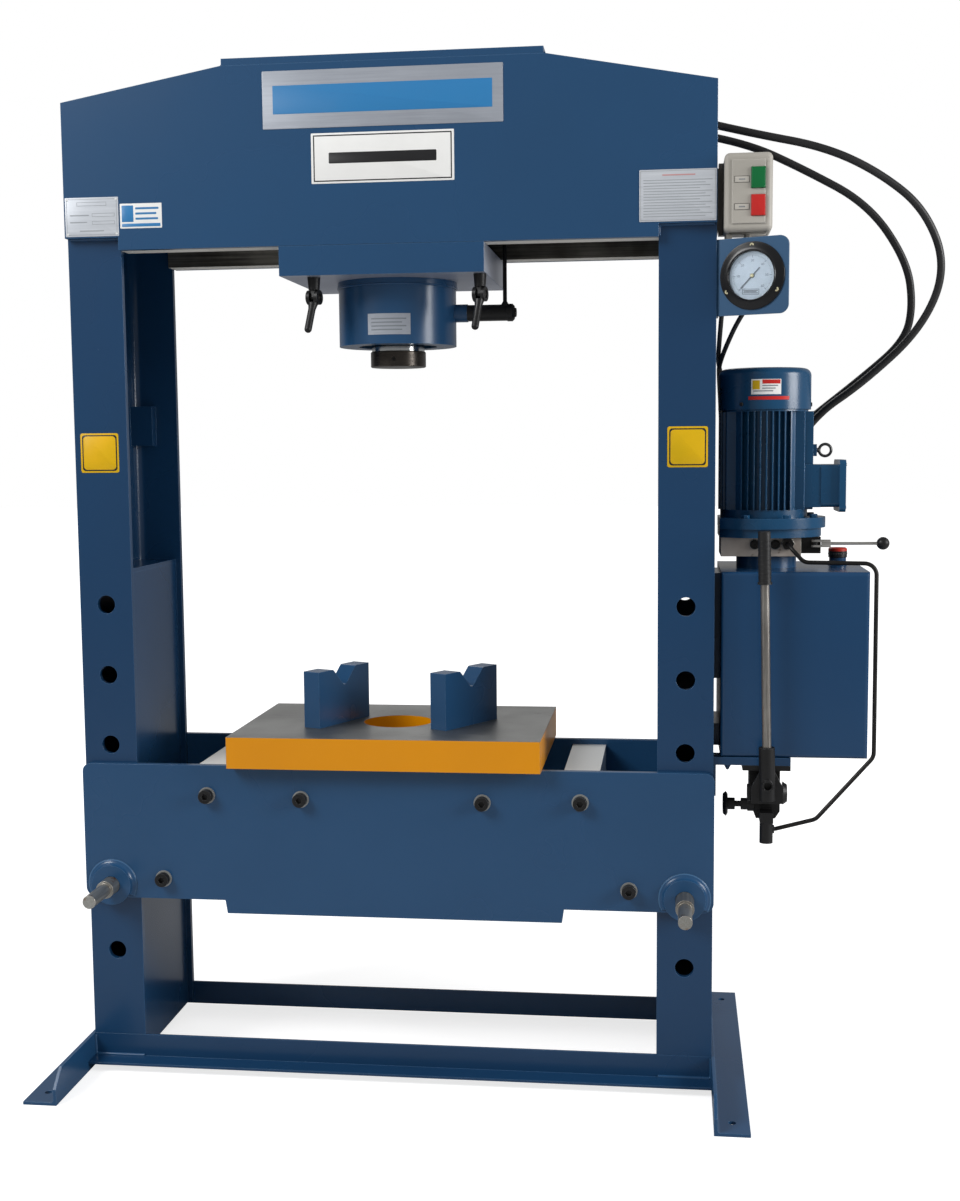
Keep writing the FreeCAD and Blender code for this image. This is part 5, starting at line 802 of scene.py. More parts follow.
def point_mesh(places):
    """Loose points, each with the way it faces."""
    mesh = bpy.data.meshes.new("places")
    mesh.from_pydata([tuple(point) for point, _ in places], [], [])
    store = mesh.attributes.new("facing", "FLOAT_VECTOR", "POINT")
    for k, (_, way) in enumerate(places):
        store.data[k].vector = Vector(way)
    return mesh


def path_mesh(paths):
    """Edge paths, each a list of points."""
    points = []
    edges = []
    for path in paths:
        start = len(points)
        points += [tuple(point) for point in path]
        edges += [(start + k, start + k + 1) for k in range(len(path) - 1)]
    mesh = bpy.data.meshes.new("paths")
    mesh.from_pydata(points, edges, [])
    return mesh


def grow(build, label, mesh, finish_name, **values):
    """Runs a tree on a mesh and gives the plain result."""
    tree = bpy.data.node_groups.get(label) or build()
    seed = bpy.data.objects.new("seed", mesh)
    bpy.context.scene.collection.objects.link(seed)
    modifier = seed.modifiers.new("grow", "NODES")
    modifier.node_group = tree
    values["Material"] = finish(finish_name)
    for item in tree.interface.items_tree:
        if item.in_out == "INPUT" and item.name in values:
            modifier[item.identifier] = values[item.name]
    bpy.context.view_layer.update()
    graph = bpy.context.evaluated_depsgraph_get()
    result = bpy.data.meshes.new_from_object(seed.evaluated_get(graph), depsgraph=graph)
    bpy.data.objects.remove(seed)
    if not result.polygons:
        raise RuntimeError(f"{label} made nothing")
    return result


def fasteners(name, places, finish_name, radius, height, sides=24, chamfer=0.6, recess=0.5,
              depth=0.8, body="frame"):
    mesh = grow(fastener_tree, "Fastener Heads", point_mesh(places), finish_name,
                Sides=sides, Radius=radius * MM, Height=height * MM, Chamfer=chamfer * MM,
                Recess=recess, Depth=depth * MM)
    return settle(name, mesh, finish_name, body)


def seams(name, paths, radius, body="frame"):
    mesh = grow(seam_tree, "Weld Seam", path_mesh(paths), "frame_enamel", Radius=radius * MM,
                Step=3 * MM, Ripple=sizes().seam_ripple)
    return settle(name, mesh, "frame_enamel", body, sharp=60)


def rings(name, places, finish_name, radius, wire, body="frame", slot="black_rubber"):
    mesh = grow(ring_tree, "Ring Stack", point_mesh(places), finish_name,
                Radius=radius * MM, Wire=wire * MM)
    return settle(name, mesh, finish_name, body, sharp=80)


# ------------------------------------------------------------------ plates and labels

def rect_on(name, left, right, low, high, y, finish_name, thick=0.8, corner=2.0, lift=0.0):
    """A plate on a front face, from its edges in millimetres."""
    matrix = face_frame((left + right) / 2, y - lift, (low + high) / 2, FRONT)
    return plaque(name, right - left, high - low, matrix, finish_name, thick, corner)


def print_rows(name, left, right, low, high, y, rows, finish_name="ink_grey", lift=0.8,
               weight=0.3):
    """Plain thin bars that stand for rows of print."""
    pitch = (high - low) / rows
    shapes = []
    for k in range(rows):
        reach = (1.0, 0.9, 0.97, 0.82)[k % 4]
        wide = (right - left) * reach
        bar = slab(rounded(wide, pitch * weight, pitch * weight * 0.3, 2), 0.15)
        matrix = face_frame(left + wide / 2, y - lift, high - pitch * (k + 0.5), FRONT)
        shapes.append((bar, matrix))
    return settle(name, to_mesh(name, merged(shapes)), finish_name, "frame")


def hollow_boxes(name, boxes, y, finish_name, line=0.8, lift=0.8):
    """Thin outlines of boxes; each box is its left, right, low and high edge."""
    shapes = []
    for left, right, low, high in boxes:
        wide = right - left
        tall = high - low
        for across, up, x, z in ((wide, line, left + wide / 2, high - line / 2),
                                 (wide, line, left + wide / 2, low + line / 2),
                                 (line, tall - line * 2, left + line / 2, low + tall / 2),
                                 (line, tall - line * 2, right - line / 2, low + tall / 2)):
            bar = slab(rounded(across, up, line * 0.2, 2), 0.15)
            shapes.append((bar, face_frame(x, y - lift, z, FRONT)))
    return settle(name, to_mesh(name, merged(shapes)), finish_name, "frame")


def wrapped(name, centre, radius, from_angle, to_angle, low, high, finish_name, thick=0.4,
            body="frame"):
    """A label that follows a round face; angles in degrees, sizes in millimetres."""
    shape = bmesh.new()
    steps = 18
    grid = []
    for skin in (radius + 0.05, radius + thick):
        rows = []
        for height in (low, high):
            row = []
            for k in range(steps + 1):
                angle = math.radians(from_angle + (to_angle - from_angle) * k / steps)
                row.append(shape.verts.new(spot(centre[0] + skin * math.cos(angle),
                                                centre[1] + skin * math.sin(angle), height)))
            rows.append(row)
        grid.append(rows)
    for rows in grid:
        for k in range(steps):
            shape.faces.new((rows[0][k], rows[0][k + 1], rows[1][k + 1], rows[1][k]))
    inner, outer = grid
    for level in (0, 1):
        for k in range(steps):
            shape.faces.new((inner[level][k], inner[level][k + 1], outer[level][k + 1],
                             outer[level][k]))
    for k in (0, steps):
        shape.faces.new((inner[0][k], inner[1][k], outer[1][k], outer[0][k]))
    return settle(name, to_mesh(name, shape), finish_name, body)


class PRESS_OT_plates(bpy.types.Operator):
    """Blank plates and labels on the head and columns"""
    bl_idname = "press.plates"
    bl_label = "Plates and labels"

    def execute(self, context):
        rect_on("head_plate_grey", -225, 229, 1839, 1945, HEAD_FACE, "plate_alloy", 0.8, 1.5)
        rect_on("head_plate_band", -205, 209, 1866, 1918, HEAD_FACE, "ink_blue", 0.25, 1.0,
                lift=0.75)
        rect_on("head_label_white", -133.5, 137, 1736.5, 1829, HEAD_FACE, "paper_white", 0.4, 1.5)
        hollow_boxes("head_label_border", [(-129.3, 132.8, 1740.1, 1825.3)], HEAD_FACE,
                     "ink_black", 2.2, 0.38)
        rect_on("head_label_bar", -100, 104, 1773, 1793, HEAD_FACE, "ink_black", 0.15, 2.0,
                lift=0.38)
        rect_on("left_plate", -617.5, -511.5, 1650.5, 1724, HEAD_FACE, "plate_light", 0.8, 1.5)
        hollow_boxes("left_plate_boxes", [(-614.5, -514.5, 1653.5, 1721), (-594, -535, 1708, 1715),
                                          (-564, -519, 1687.5, 1694), (-564, -519, 1673, 1679.5)],
                     HEAD_FACE, "ink_pale", 0.7)
        print_rows("left_plate_rows", -608, -570, 1671, 1697, HEAD_FACE, 2, "ink_pale",
                   weight=0.16)
        print_rows("left_plate_foot", -589, -541, 1657, 1665, HEAD_FACE, 1, "ink_pale", weight=0.3)
        rect_on("small_label", -508.5, -426, 1664, 1710.5, HEAD_FACE, "paper_white", 0.3, 1.0)
        rect_on("small_label_field", -505, -482, 1676, 1707, HEAD_FACE, "ink_blue", 0.12, 0.8,
                lift=0.28)
        rect_on("small_label_bar", -505, -429, 1667, 1673, HEAD_FACE, "ink_blue", 0.12, 0.8,
                lift=0.28)
        print_rows("small_label_rows", -478, -432, 1677, 1706, HEAD_FACE, 3, "ink_blue", lift=0.28,
                   weight=0.4)
        rect_on("right_plate", 478.5, 618.5, 1650.5, 1743.5, HEAD_FACE, "plate_light", 0.8, 1.5)
        hollow_boxes("right_plate_line", [(480.5, 616.5, 1652.5, 1741.5)], HEAD_FACE,
                     "ink_pale", 0.7)
        print_rows("right_plate_rows", 486, 611, 1657, 1727, HEAD_FACE, 14, "ink_pale",
                   weight=0.24)
        print_rows("right_plate_title", 520, 580, 1731, 1736, HEAD_FACE, 1, "warning_pale",
                   weight=0.5)
        corners = [(-613, 1720), (-516, 1720), (-613, 1655), (-516, 1655)]
        fasteners("plate_rivets", [(spot(x, HEAD_FACE - 0.7, z), FRONT) for x, z in corners],
                  "light_steel", sizes().rivet / MM, 0.5, 16, 0.4, 0.6, 0.0)
        return {"FINISHED"}


class PRESS_OT_safety_squares(bpy.types.Operator):
    """Bare yellow squares on both columns"""
    bl_idname = "press.safety_squares"
    bl_label = "Yellow squares"

    def execute(self, context):
        for word, left, right, low, high in (("left", -608.5, -531.5, 1199.2, 1275.8),
                                             ("right", 531, 606, 1202, 1277.8)):
            for name, edge, tone, lift in (("back", 0, "warning_yellow", 0.0),
                                           ("line", 3.4, "ink_black", 0.28),
                                           ("field", 5.8, "warning_yellow", 0.42)):
                rect_on(f"{word}_square_{name}", left + edge, right - edge, low + edge,
                        high - edge, COLUMN_FACE, tone, 0.3 if edge == 0 else 0.15, 4.0 + edge / 2,
                        lift=lift)
        return {"FINISHED"}


# ------------------------------------------------------------------ frame trim

class PRESS_OT_weld_seams(bpy.types.Operator):
    """Painted weld seams of the frame"""
    bl_idname = "press.weld_seams"
    bl_label = "Weld seams"

    def execute(self, context):
        runs = []
        for y in (-160, 160):
            for side in (-1, 1):
                runs.append([(side * 616, y, 1648), (side * 514, y, 1648)])
                runs.append([(side * 514, y, 1648), (side * 514, y, 1628)])
        hangers = []
        for side in (-1, 1):
            runs.append([(side * 303.5, -168, 1959), (side * 303.5, 168, 1959)])
            for y in (-160, 160):
                runs.append([(side * 620, y, 8), (side * 620, y, 62)])
            runs.append([(side * PIN_X - 50, -160, 21), (side * PIN_X + 50, -160, 21)])
            for hanger in (-1, 1):
                x = BARREL_X + hanger * 160 + side * 12
                hangers.append([(x, -108, 1667), (x, 108, 1667)])
        for name, paths, radius, body in (("frame_seams", runs, 4.0, "frame"),
                                          ("hanger_seams", hangers, 3.0, "carriage")):
            seams(name, [[spot(*point) for point in path] for path in paths], radius=radius,
                  body=body)
        return {"FINISHED"}


class PRESS_OT_bed_trim(bpy.types.Operator):
    """Fillets round the pin bosses of the bed"""
    bl_idname = "press.bed_trim"
    bl_label = "Bed trim"

    def execute(self, context):
        radius = sizes().boss_fillet / MM
        for k, (x, y, way) in enumerate(((-PIN_X, -174, FRONT), (PIN_X, -174, FRONT),
                                         (-PIN_X, 174, BACK), (PIN_X, 174, BACK))):
            name = f"boss_fillet_{k}"
            shape = self.fillet(radius)
            settle(name, to_mesh(name, shape, face_frame(x, y, PIN_Z, way)), "frame_enamel")
        return {"FINISHED"}

    def fillet(self, radius):
        """A hollow quarter round from the boss down to the plate, open at the plate's foot."""
        shape = bmesh.new()
        boss = 40.0
        start = math.radians(-28)
        sweep = math.radians(236)
        steps = 56
        section = [(boss - 0.4, -0.2)]
        for k in range(9):
            angle = math.pi / 2 * k / 8
            section.append((boss + radius * (1 - math.sin(angle)),
                            radius * (1 - math.cos(angle)) + 0.05))
        section.append((boss - 0.4, radius))
        columns = []
        for k in range(steps + 1):
            angle = start + sweep * k / steps
            columns.append([shape.verts.new(spot(r * math.cos(angle), r * math.sin(angle), h))
                            for r, h in section])
        for first, second in zip(columns, columns[1:]):
            for k in range(len(section)):
                after = (k + 1) % len(section)
                shape.faces.new((first[k], second[k], second[after], first[after]))
        shape.faces.new(columns[0])
        shape.faces.new(columns[-1])
        return shape


# ------------------------------------------------------------------ cylinder trim

class PRESS_OT_cylinder_trim(bpy.types.Operator):
    """Label, seams and small hardware of the sliding cylinder"""
    bl_idname = "press.cylinder_trim"
    bl_label = "Cylinder trim"

    def execute(self, context):
        middle = (BARREL_X, 0)
        on_label = BARREL_RADIUS + 0.4
        wrapped("cylinder_label", middle, BARREL_RADIUS, -109.6, -68, 1460, 1500, "plate_alloy",
                body="carriage")
        for k in range(4):
            wrapped(f"cylinder_label_row_{k}", middle, on_label, -106, -72 - 4 * (k % 2),
                    1489 - 7 * k, 1491.5 - 7 * k, "ink_grey", 0.12, body="carriage")
        ring = [spot(BARREL_X + 117.5 * math.cos(math.radians(a)),
                     117.5 * math.sin(math.radians(a)), 1556.5) for a in range(0, 361, 6)]
        seams("cylinder_seam", [ring], radius=2.5, body="carriage")
        fasteners("port_end_plug", [(spot(229.8, 0, 1507), RIGHT)], "black_oxide", 9, 3, 6,
                  1.0, 0.55, 2.0, body="carriage")
        fasteners("nose_set_screw", [(spot(BARREL_X, -50, 1417.8), FRONT)], "black_oxide", 4.2, 3,
                  24, 0.4, 0.55, 1.6, body="ram")
        pins = []
        for word, x in (("left", -141), ("right", 179)):
            turn = Matrix.Rotation(math.radians(-13), 4, "Z")
            for side in (-1, 1):
                way = turn @ Vector((side, 0, 0))
                pins.append((word, spot(x, -140, 1530) + way * 0.0088, way))
        for word in ("left", "right"):
            fasteners(word + "_clamp_pin_heads",
                      [(point, way) for side, point, way in pins if side == word],
                      "black_oxide", 5.5, 1.4, 20, 0.5, 0.4, 0.5, body="carriage")
        return {"FINISHED"}


# ------------------------------------------------------------------ gauge and switch

GAUGE_TURN = math.radians(22)
GAUGE_OUT = Vector((-math.sin(GAUGE_TURN), -math.cos(GAUGE_TURN), 0))
GAUGE_AT = Vector((620 + 68.8 * math.cos(GAUGE_TURN), -155 - 68.8 * math.sin(GAUGE_TURN),
                   1548.9))


def on_dial(lift=0.0):
    """The frame of the dial: Z out of it, Y up."""
    place = GAUGE_AT + GAUGE_OUT * lift
    return face_frame(place.x, place.y, place.z, GAUGE_OUT)


class PRESS_OT_gauge_trim(bpy.types.Operator):
    """Bezel ring, scale and screws of the gauge"""
    bl_idname = "press.gauge_trim"
    bl_label = "Gauge trim"

    def execute(self, context):
        rim = lathe([(61.1, 0.1), (61.3, 1.4), (60.4, 2.9), (58.6, 3.3), (49.6, 3.4),
                     (47.4, 4.6), (46.6, 8.0), (45.4, 9.2), (44.2, 9.2), (43.4, 8.2),
                     (43.4, 0.6), (44.4, 0.1)], 72, closed=True)
        settle("gauge_ring", to_mesh("gauge_ring", rim, on_dial()), "gauge_black", "frame")
        matrix = on_dial(3.2)
        screws = [(matrix @ spot(54.1 * math.cos(math.radians(a)),
                                 54.1 * math.sin(math.radians(a)), 0), GAUGE_OUT)
                  for a in (90, 210, 330)]
        fasteners("gauge_screws", screws, "screw_cream", 4.3, 1.6, 20, 0.6, 0.36, 1.2)
        self.scale_marks()
        bars = [(slab(rounded(wide, tall, 0.2, 2), 0.15), shift(x, y, 0))
                for wide, tall, x, y in ((32, 0.7, 0, 4.6), (32, 0.7, 0, -4.6),
                                         (0.7, 8.5, -15.6, 0), (0.7, 8.5, 15.6, 0),
                                         (28, 0.9, 0, 2.1), (24, 0.9, -1, 0), (28, 0.9, 0, -2.1))]
        tilt = Matrix.Rotation(math.radians(-3), 4, "Z")
        settle("dial_field", to_mesh("dial_field", merged(bars),
                                     on_dial(0.05) @ shift(-3, -28.5, 0) @ tilt),
               "ink_black", "frame")
        hub = lathe([(0, 4.2), (2.6, 4.2), (3.6, 3.2), (3.6, 2.0), (0, 2.0)], 24)
        settle("needle_hub", to_mesh("needle_hub", hub, on_dial()), "screw_cream", "needle")
        return {"FINISHED"}

    def scale_marks(self):
        for name, count, radius, size in (("dial_fine", 60, 36.2, (2.4, 0.5, 0.16)),
                                          ("dial_bold", 6, 35.0, (4.8, 1.1, 0.2))):
            places = []
            for k in range(count + 1):
                angle = math.radians(225 - 270 * k / count)
                way = Vector((math.cos(angle), math.sin(angle), 0))
                places.append((way * radius * MM, way))
            mesh = grow(tick_tree, "Dial Ticks", point_mesh(places), "dial_print",
                        Size=[value * MM for value in size])
            mesh.transform(on_dial(0.1))
            settle(name, mesh, "dial_print", "frame")
        shapes = []
        for k in range(7):
            angle = math.radians(225 - 270 * k / 6)
            text = bpy.data.curves.new("digits", "FONT")
            text.body = str(10 * k)
            text.size = 6.4 * MM
            text.extrude = 0.08 * MM
            text.align_x = "CENTER"
            text.align_y = "CENTER"
            holder = bpy.data.objects.new("digits", text)
            bpy.context.scene.collection.objects.link(holder)
            bpy.context.view_layer.update()
            digits = bpy.data.meshes.new_from_object(holder)
            bpy.data.objects.remove(holder)
            shape = bmesh.new()
            shape.from_mesh(digits)
            shapes.append((shape, shift(27.2 * math.cos(angle), 27.2 * math.sin(angle), 0)))
        settle("dial_numbers", to_mesh("dial_numbers", merged(shapes), on_dial(0.1)),
               "dial_print", "frame")


class PRESS_OT_switch_trim(bpy.types.Operator):
    """Labels and button faces of the switch box"""
    bl_idname = "press.switch_trim"
    bl_label = "Switch box trim"

    def execute(self, context):
        labels = ((650, 677, 1714.3, 1726), (650, 677, 1665.8, 1677.3))
        for k, box in enumerate(labels):
            rect_on(f"switch_label_{k}", *box, BOX_FACE, "label_beige", 0.3, 0.8)
        hollow_boxes("switch_label_lines", labels, BOX_FACE, "ink_black", 0.7, 0.29)
        marks = [(left + 8, right - 8, low + 4.6, high - 4.6) for left, right, low, high in labels]
        hollow_boxes("switch_label_marks", marks, BOX_FACE, "ink_grey", 0.9, 0.29)
        for name, low, tone, slot, body in (
                ("start_face", 1704, "green_button", "green_plastic", "start"),
                ("stop_face", 1655, "red_button", "red_plastic", "stop")):
            shape = slab(rounded(24.6, 37.1, 2.0), 1.4, 0.9, 3)
            matrix = face_frame(692.7, -189.5, low + 18.75, FRONT)
            settle(name, to_mesh(name, shape, matrix), tone, body)
        return {"FINISHED"}


# ------------------------------------------------------------------ motor and pump

class PRESS_OT_motor_trim(bpy.types.Operator):
    """Labels, screws and bolts of the motor"""
    bl_idname = "press.motor_trim"
    bl_label = "Motor trim"

    def execute(self, context):
        middle = (MOTOR_X, 0)
        on_label = COWL_RADIUS + 0.4
        wrapped("cowl_label", middle, COWL_RADIUS, -109.5, -73.1, 1337.6, 1366.2, "paper_white")
        wrapped("cowl_label_strip", middle, on_label, -96, -74.1, 1357.5, 1365.2, "warning_red",
                0.15)
        wrapped("cowl_label_field", middle, on_label, -108, -99, 1347, 1364, "warning_yellow",
                0.15)
        for k in range(3):
            wrapped(f"cowl_label_row_{k}", middle, on_label, -107 + 11 * (k < 2), -77 - 3 * k,
                    1353 - 5 * k, 1355 - 5 * k, "ink_grey", 0.15)
        wrapped("cowl_stripe", middle, COWL_RADIUS, -113, -62, 1327.5, 1334, "warning_red", 0.3)
        around = []
        for angle in (-122, -2, 118):
            way = Vector((math.cos(math.radians(angle)), math.sin(math.radians(angle)), 0))
            around.append((spot(*middle, 1319.7) + way * 0.089, way))
        fasteners("cowl_screws", around, "black_oxide", 4.0, 1.6, 6, 0.6, 0.4, 0.6)
        bolts = []
        ring = 101
        for k in range(8):
            angle = math.radians(22.5 + 45 * k)
            x = MOTOR_X + ring * math.cos(angle)
            if x > 640:
                bolts.append((spot(x, ring * math.sin(angle), 1103), UP))
        fasteners("flange_bolts", bolts, "motor_enamel", 7.5, 5.5, 6, 0.8, 0.4, 0.4)
        lid = [(spot(870, y, z), RIGHT) for y in (-47, 47) for z in (1122, 1204)]
        fasteners("terminal_screws", lid, "light_steel", 3.4, 1.6, 20, 0.5, 0.5, 0.8)
        return {"FINISHED"}


class PRESS_OT_power_trim(bpy.types.Operator):
    """Bolts, plugs, cap grips and the neck ring of the pump unit"""
    bl_idname = "press.power_trim"
    bl_label = "Power unit trim"

    def execute(self, context):
        tops = [(spot(x, y, 1065.4), UP) for x in (792, 818) for y in (-50, 54)]
        fasteners("valve_bolts", tops, "black_oxide", 3.5, 0.5, 20, 0.2, 0.5, 0.4)
        plugs = [(spot(x, -73, 1052), FRONT) for x in (698, 737)]
        fasteners("manifold_plugs", plugs, "black_oxide", 7.5, 2.0, 24, 0.8, 0.5, 2.0)
        edge = []
        for k in range(24):
            angle = 2 * math.pi * k / 24
            way = Vector((math.cos(angle), math.sin(angle), 0))
            edge.append((spot(*FILLER, 1027.5) + way * 0.0178, way))
        fasteners("cap_grips", edge, "dark_plastic", 1.6, 0.6, 8, 0.3, 0.2, 0.0, body="cap")
        rings("neck_ring", [(spot(*FILLER, 1006.5), UP)], "frame_enamel", 17.5, 1.6,
              slot="frame_blue")
        return {"FINISHED"}


class PRESS_OT_pump_trim(bpy.types.Operator):
    """Grip rings and the socket lip of the hand pump"""
    bl_idname = "press.pump_trim"
    bl_label = "Hand pump trim"

    def execute(self, context):
        lean = math.radians(-1.2)
        way = Vector((math.sin(lean), 0, math.cos(lean)))
        foot = spot(720, -182, 585)
        count = sizes().grip_rings
        places = [(foot + way * (412 + 8.5 * k) * MM, way) for k in range(count)]
        rings("grip_ribs", places, "hose_rubber", 11.6, 0.9, body="pump_arm")
        rings("socket_lip", [(foot + way * 0.0925, way)], "black_coat", 13.6, 1.3,
              body="pump_arm", slot="black_steel")
        return {"FINISHED"}


# ------------------------------------------------------------------ hoses

OUTER_HOSE = [(606, -40, 1850), (689, -38, 1829), (823, -30, 1802), (926, -15, 1755),
              (1016, 5, 1687), (1063, 30, 1579), (1023, 60, 1466), (915, 95, 1363),
              (823, 125, 1299), (755, 137, 1185), (745, 137, 1085)]
INNER_HOSE = [(606, 30, 1840), (682, 32, 1824), (786, 36, 1775), (916, 52, 1706),
              (993, 66, 1597), (1008, 80, 1511), (996, 98, 1445), (918, 122, 1375),
              (791, 150, 1274), (712, 146, 1180), (700, 137, 1085)]
GAUGE_HOSE = [(695.4, -108.2, 1524.4), (666, -84, 1484), (641, -48, 1430), (630, 0, 1397),
              (631, 45, 1383), (637, 90, 1305), (640, 122, 1222), (653, 136, 1148),
              (655, 137, 1085)]
MOTOR_CABLE = [(641, -142.5, 1616), (637, -134, 1562), (632, -102, 1496), (628.5, -60, 1440),
               (628, -12, 1413), (630, 38, 1402), (638, 82, 1378), (660, 108, 1335),
               (695, 114, 1288), (736, 108, 1240), (782, 120, 1206), (815, 126, 1177),
               (841, 100, 1160), (841, 60, 1160)]
HOSES = (
    ("outer_hose", OUTER_HOSE, 15.0, 1.185),
    ("inner_hose", INNER_HOSE, 15.0, 1.114),
    ("gauge_hose", GAUGE_HOSE, 9.0, 0.546),
    ("motor_cable", MOTOR_CABLE, 9.0, 0.707),
)


def crimp(name, route, radius, long, at_end=True):
    """The pressed sleeve where a hose meets its fitting."""
    first, second = (route[-1], route[-2]) if at_end else (route[0], route[1])
    way = (Vector(second) - Vector(first)).normalized()
    profile = [(0, 0), (radius * 0.9, 0), (radius * 0.9, 5), (radius, 6)]
    for k in range(3):
        low = long * (0.28 + 0.22 * k)
        profile += [(radius, low), (radius * 0.93, low + 1.2), (radius * 0.93, low + 3),
                    (radius, low + 4.2)]
    profile += [(radius, long - 1.5), (radius * 0.94, long), (0, long)]
    matrix = Vector((0, 0, 1)).rotation_difference(way).to_matrix().to_4x4()
    matrix.translation = spot(*first)
    return settle(name, to_mesh(name, lathe(profile, 32), matrix), "light_steel", "frame")


class PRESS_OT_hoses(bpy.types.Operator):
    """Pressure hoses and the motor cable"""
    bl_idname = "press.hoses"
    bl_label = "Hoses and cable"

    def execute(self, context):
        long = sizes().crimp / MM
        for node, route, diameter, length in HOSES:
            curve = bpy.data.curves.new(node + "_line", "CURVE")
            curve.dimensions = "3D"
            spline = curve.splines.new("NURBS")
            spline.points.add(len(route) - 1)
            for point, (x, y, z) in zip(spline.points, route):
                point.co = (x * MM, y * MM, z * MM, 1)
            spline.order_u = 3
            spline.use_endpoint_u = True
            curve.resolution_u = 14
            curve.bevel_depth = diameter / 2 * MM
            curve.bevel_resolution = 6
            curve.use_fill_caps = True
            curve.materials.append(finish("hose_rubber"))
            obj = bpy.data.objects.new(node + "_line", curve)
            context.scene.collection.objects.link(obj)
            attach(obj, "frame")
            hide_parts(node)
            if node != "motor_cable":
                crimp(node + "_crimp", route, diameter * 0.68,
                                      long * diameter / 15)
            if node == "gauge_hose":
                crimp(node + "_top_crimp", route, diameter * 0.68, 24, False)
        return {"FINISHED"}


# ------------------------------------------------------------------ finishes and stage

class PRESS_OT_finishes(bpy.types.Operator):
    """Finishes of every solid of the press"""
    bl_idname = "press.finishes"
    bl_label = "Finishes"

    def execute(self, context):
        make_finishes()
        dress_nodes()
        return {"FINISHED"}


def lamp(name, place, aim, power, size):
    data = bpy.data.lights.new(name, "AREA")
    data.energy = power
    data.size = size
    obj = bpy.data.objects.new(name, data)
    obj.location = place
    obj.rotation_euler = (Vector(aim) - Vector(place)).to_track_quat("-Z", "Y").to_euler()
    bpy.context.scene.collection.objects.link(obj)


def seen_directly(tree):
    """One where the camera looks, through glass too, and nought for all other light."""
    path = add(tree, "ShaderNodeLightPath")
    return either(tree, path.outputs["Is Camera Ray"], path.outputs["Is Transmission Ray"])


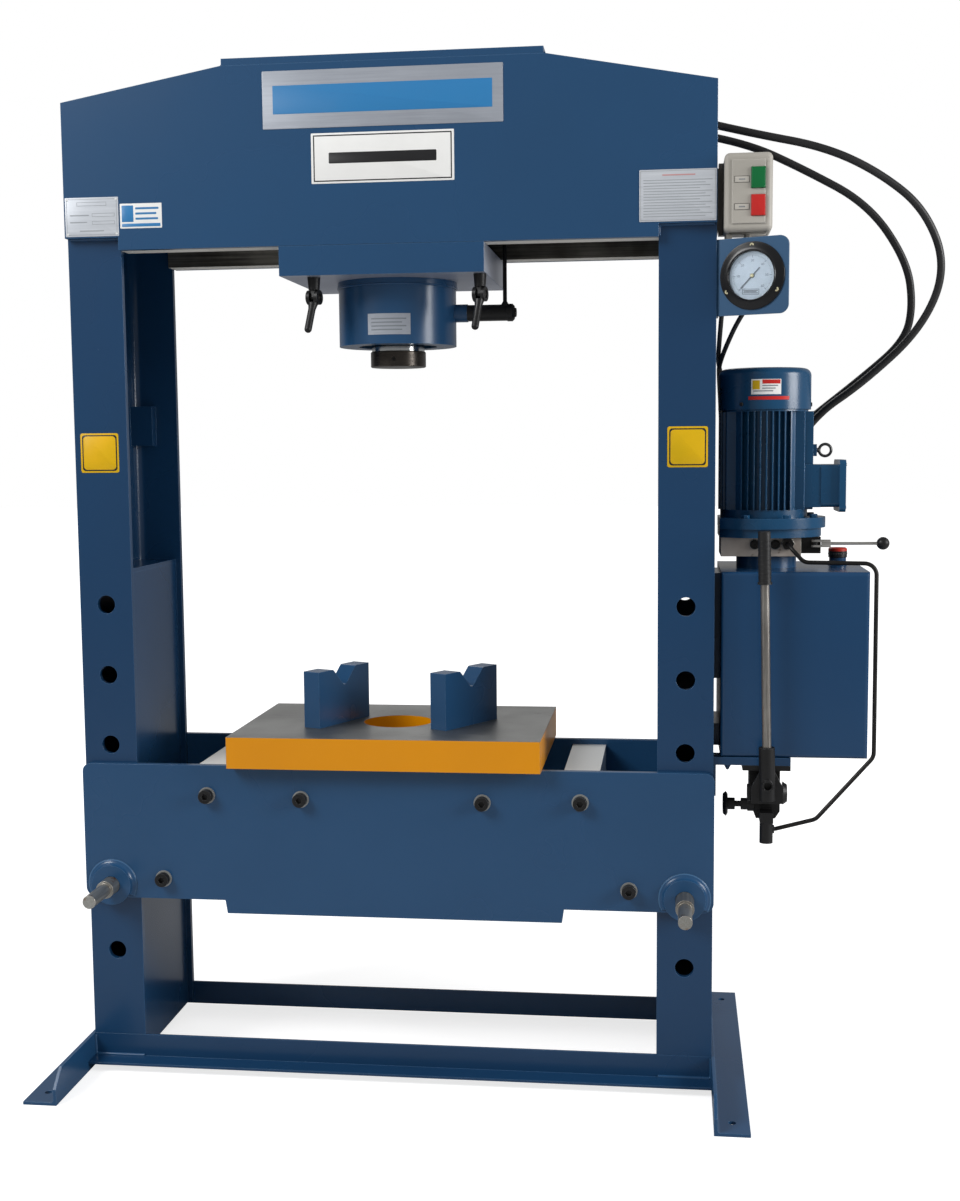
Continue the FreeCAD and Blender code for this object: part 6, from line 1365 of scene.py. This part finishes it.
class PRESS_OT_stage(bpy.types.Operator):
    """Floor, light and camera"""
    bl_idname = "press.stage"
    bl_label = "Stage"

    def execute(self, context):
        view = context.scene.press_view
        self.floor()
        self.sky(context, view)
        lamp("key", (-3.0, -2.6, 3.9), (0, 0, 1.4), view.key, 2.0)
        lamp("fill", (3.9, -1.1, 2.0), (-0.5, 0, 1.2), view.fill, 1.6)
        lamp("rim", (-0.6, 3.0, 3.4), (0, 0, 1.4), view.rim, 2.0)
        self.camera(context, view)
        return {"FINISHED"}

    def floor(self):
        shape = bmesh.new()
        bmesh.ops.create_grid(shape, x_segments=1, y_segments=1, size=30)
        mesh = bpy.data.meshes.new("studio_floor")
        shape.to_mesh(mesh)
        shape.free()
        material = bpy.data.materials.new("studio_floor")
        material.use_nodes = True
        tree = material.node_tree
        shader = tree.nodes["Principled BSDF"]
        noise = add(tree, "ShaderNodeTexNoise", {"Scale": 0.4, "Detail": 2.0})
        tone = ranged(tree, noise.outputs["Fac"], to_low=0.56, to_high=0.6)
        grey = add(tree, "ShaderNodeCombineColor", {"Red": tone, "Green": tone, "Blue": tone})
        link(tree, grey.outputs["Color"], shader.inputs["Base Color"])
        shader.inputs["Roughness"].default_value = 0.9
        shader.inputs["Specular IOR Level"].default_value = 0.1
        shader.inputs["Emission Color"].default_value = (1, 1, 1, 1)
        place = add(tree, "ShaderNodeTexCoord").outputs["Object"]
        away = add(tree, "ShaderNodeVectorMath", {0: place}, operation="LENGTH")
        level = ranged(tree, away.outputs["Value"], 0.9, 3.0, 0.74, 1.0)
        glow = maths(tree, "MULTIPLY", seen_directly(tree), level)
        link(tree, glow, shader.inputs["Emission Strength"])
        mesh.materials.append(material)
        obj = bpy.data.objects.new("studio_floor", mesh)
        bpy.context.scene.collection.objects.link(obj)

    def sky(self, context, view):
        world = bpy.data.worlds.new("studio")
        context.scene.world = world
        world.use_nodes = True
        tree = world.node_tree
        base = tree.nodes["Background"]
        base.inputs["Color"].default_value = (1, 1, 1, 1)
        strength = blend_sockets(tree, seen_directly(tree), view.sky, 1.0)
        link(tree, strength, base.inputs["Strength"])

    def camera(self, context, view):
        data = bpy.data.cameras.new("viewpoint")
        data.sensor_fit = "HORIZONTAL"
        data.sensor_width = 36
        data.lens = view.lens
        data.shift_x = -0.0014
        data.shift_y = 0.0041
        data.clip_end = 100
        obj = bpy.data.objects.new("viewpoint", data)
        across = Vector((0.99236842, 0.12301789, -0.00845714))
        rise = Vector((-0.00397415, 0.10045785, 0.99493338))
        ahead = Vector((-0.12324419, 0.98730685, -0.10018009))
        matrix = Matrix((across, rise, -ahead)).transposed().to_4x4()
        matrix.translation = Vector((0.54195, -3.06921, 1.23842))
        obj.matrix_world = matrix
        context.scene.collection.objects.link(obj)
        context.scene.camera = obj
        context.scene.view_settings.view_transform = "Standard"


class PRESS_PT_panel(bpy.types.Panel):
    """The steps that dress the press"""
    bl_idname = "PRESS_PT_panel"
    bl_label = "Workshop press"
    bl_space_type = "VIEW_3D"
    bl_region_type = "UI"
    bl_category = "Press"

    def draw(self, context):
        for step in STEPS:
            self.layout.operator(step.bl_idname)


STEPS = (PRESS_OT_finishes, PRESS_OT_stage, PRESS_OT_hoses, PRESS_OT_plates,
         PRESS_OT_safety_squares, PRESS_OT_weld_seams, PRESS_OT_bed_trim,
         PRESS_OT_cylinder_trim, PRESS_OT_gauge_trim, PRESS_OT_switch_trim,
         PRESS_OT_motor_trim, PRESS_OT_power_trim, PRESS_OT_pump_trim)
CLASSES = (PressColours, PressSizes, PressView) + STEPS + (PRESS_PT_panel,)


def register():
    for item in CLASSES:
        bpy.utils.register_class(item)
    bpy.types.Scene.press_colours = PointerProperty(type=PressColours)
    bpy.types.Scene.press_sizes = PointerProperty(type=PressSizes)
    bpy.types.Scene.press_view = PointerProperty(type=PressView)


def unregister():
    del bpy.types.Scene.press_view
    del bpy.types.Scene.press_sizes
    del bpy.types.Scene.press_colours
    for item in reversed(CLASSES):
        bpy.utils.unregister_class(item)


def main():
    register()
    for step in STEPS:
        group, name = step.bl_idname.split(".")
        getattr(getattr(bpy.ops, group), name)()
    bpy.context.view_layer.update()


if __name__ == "__main__":
    main()
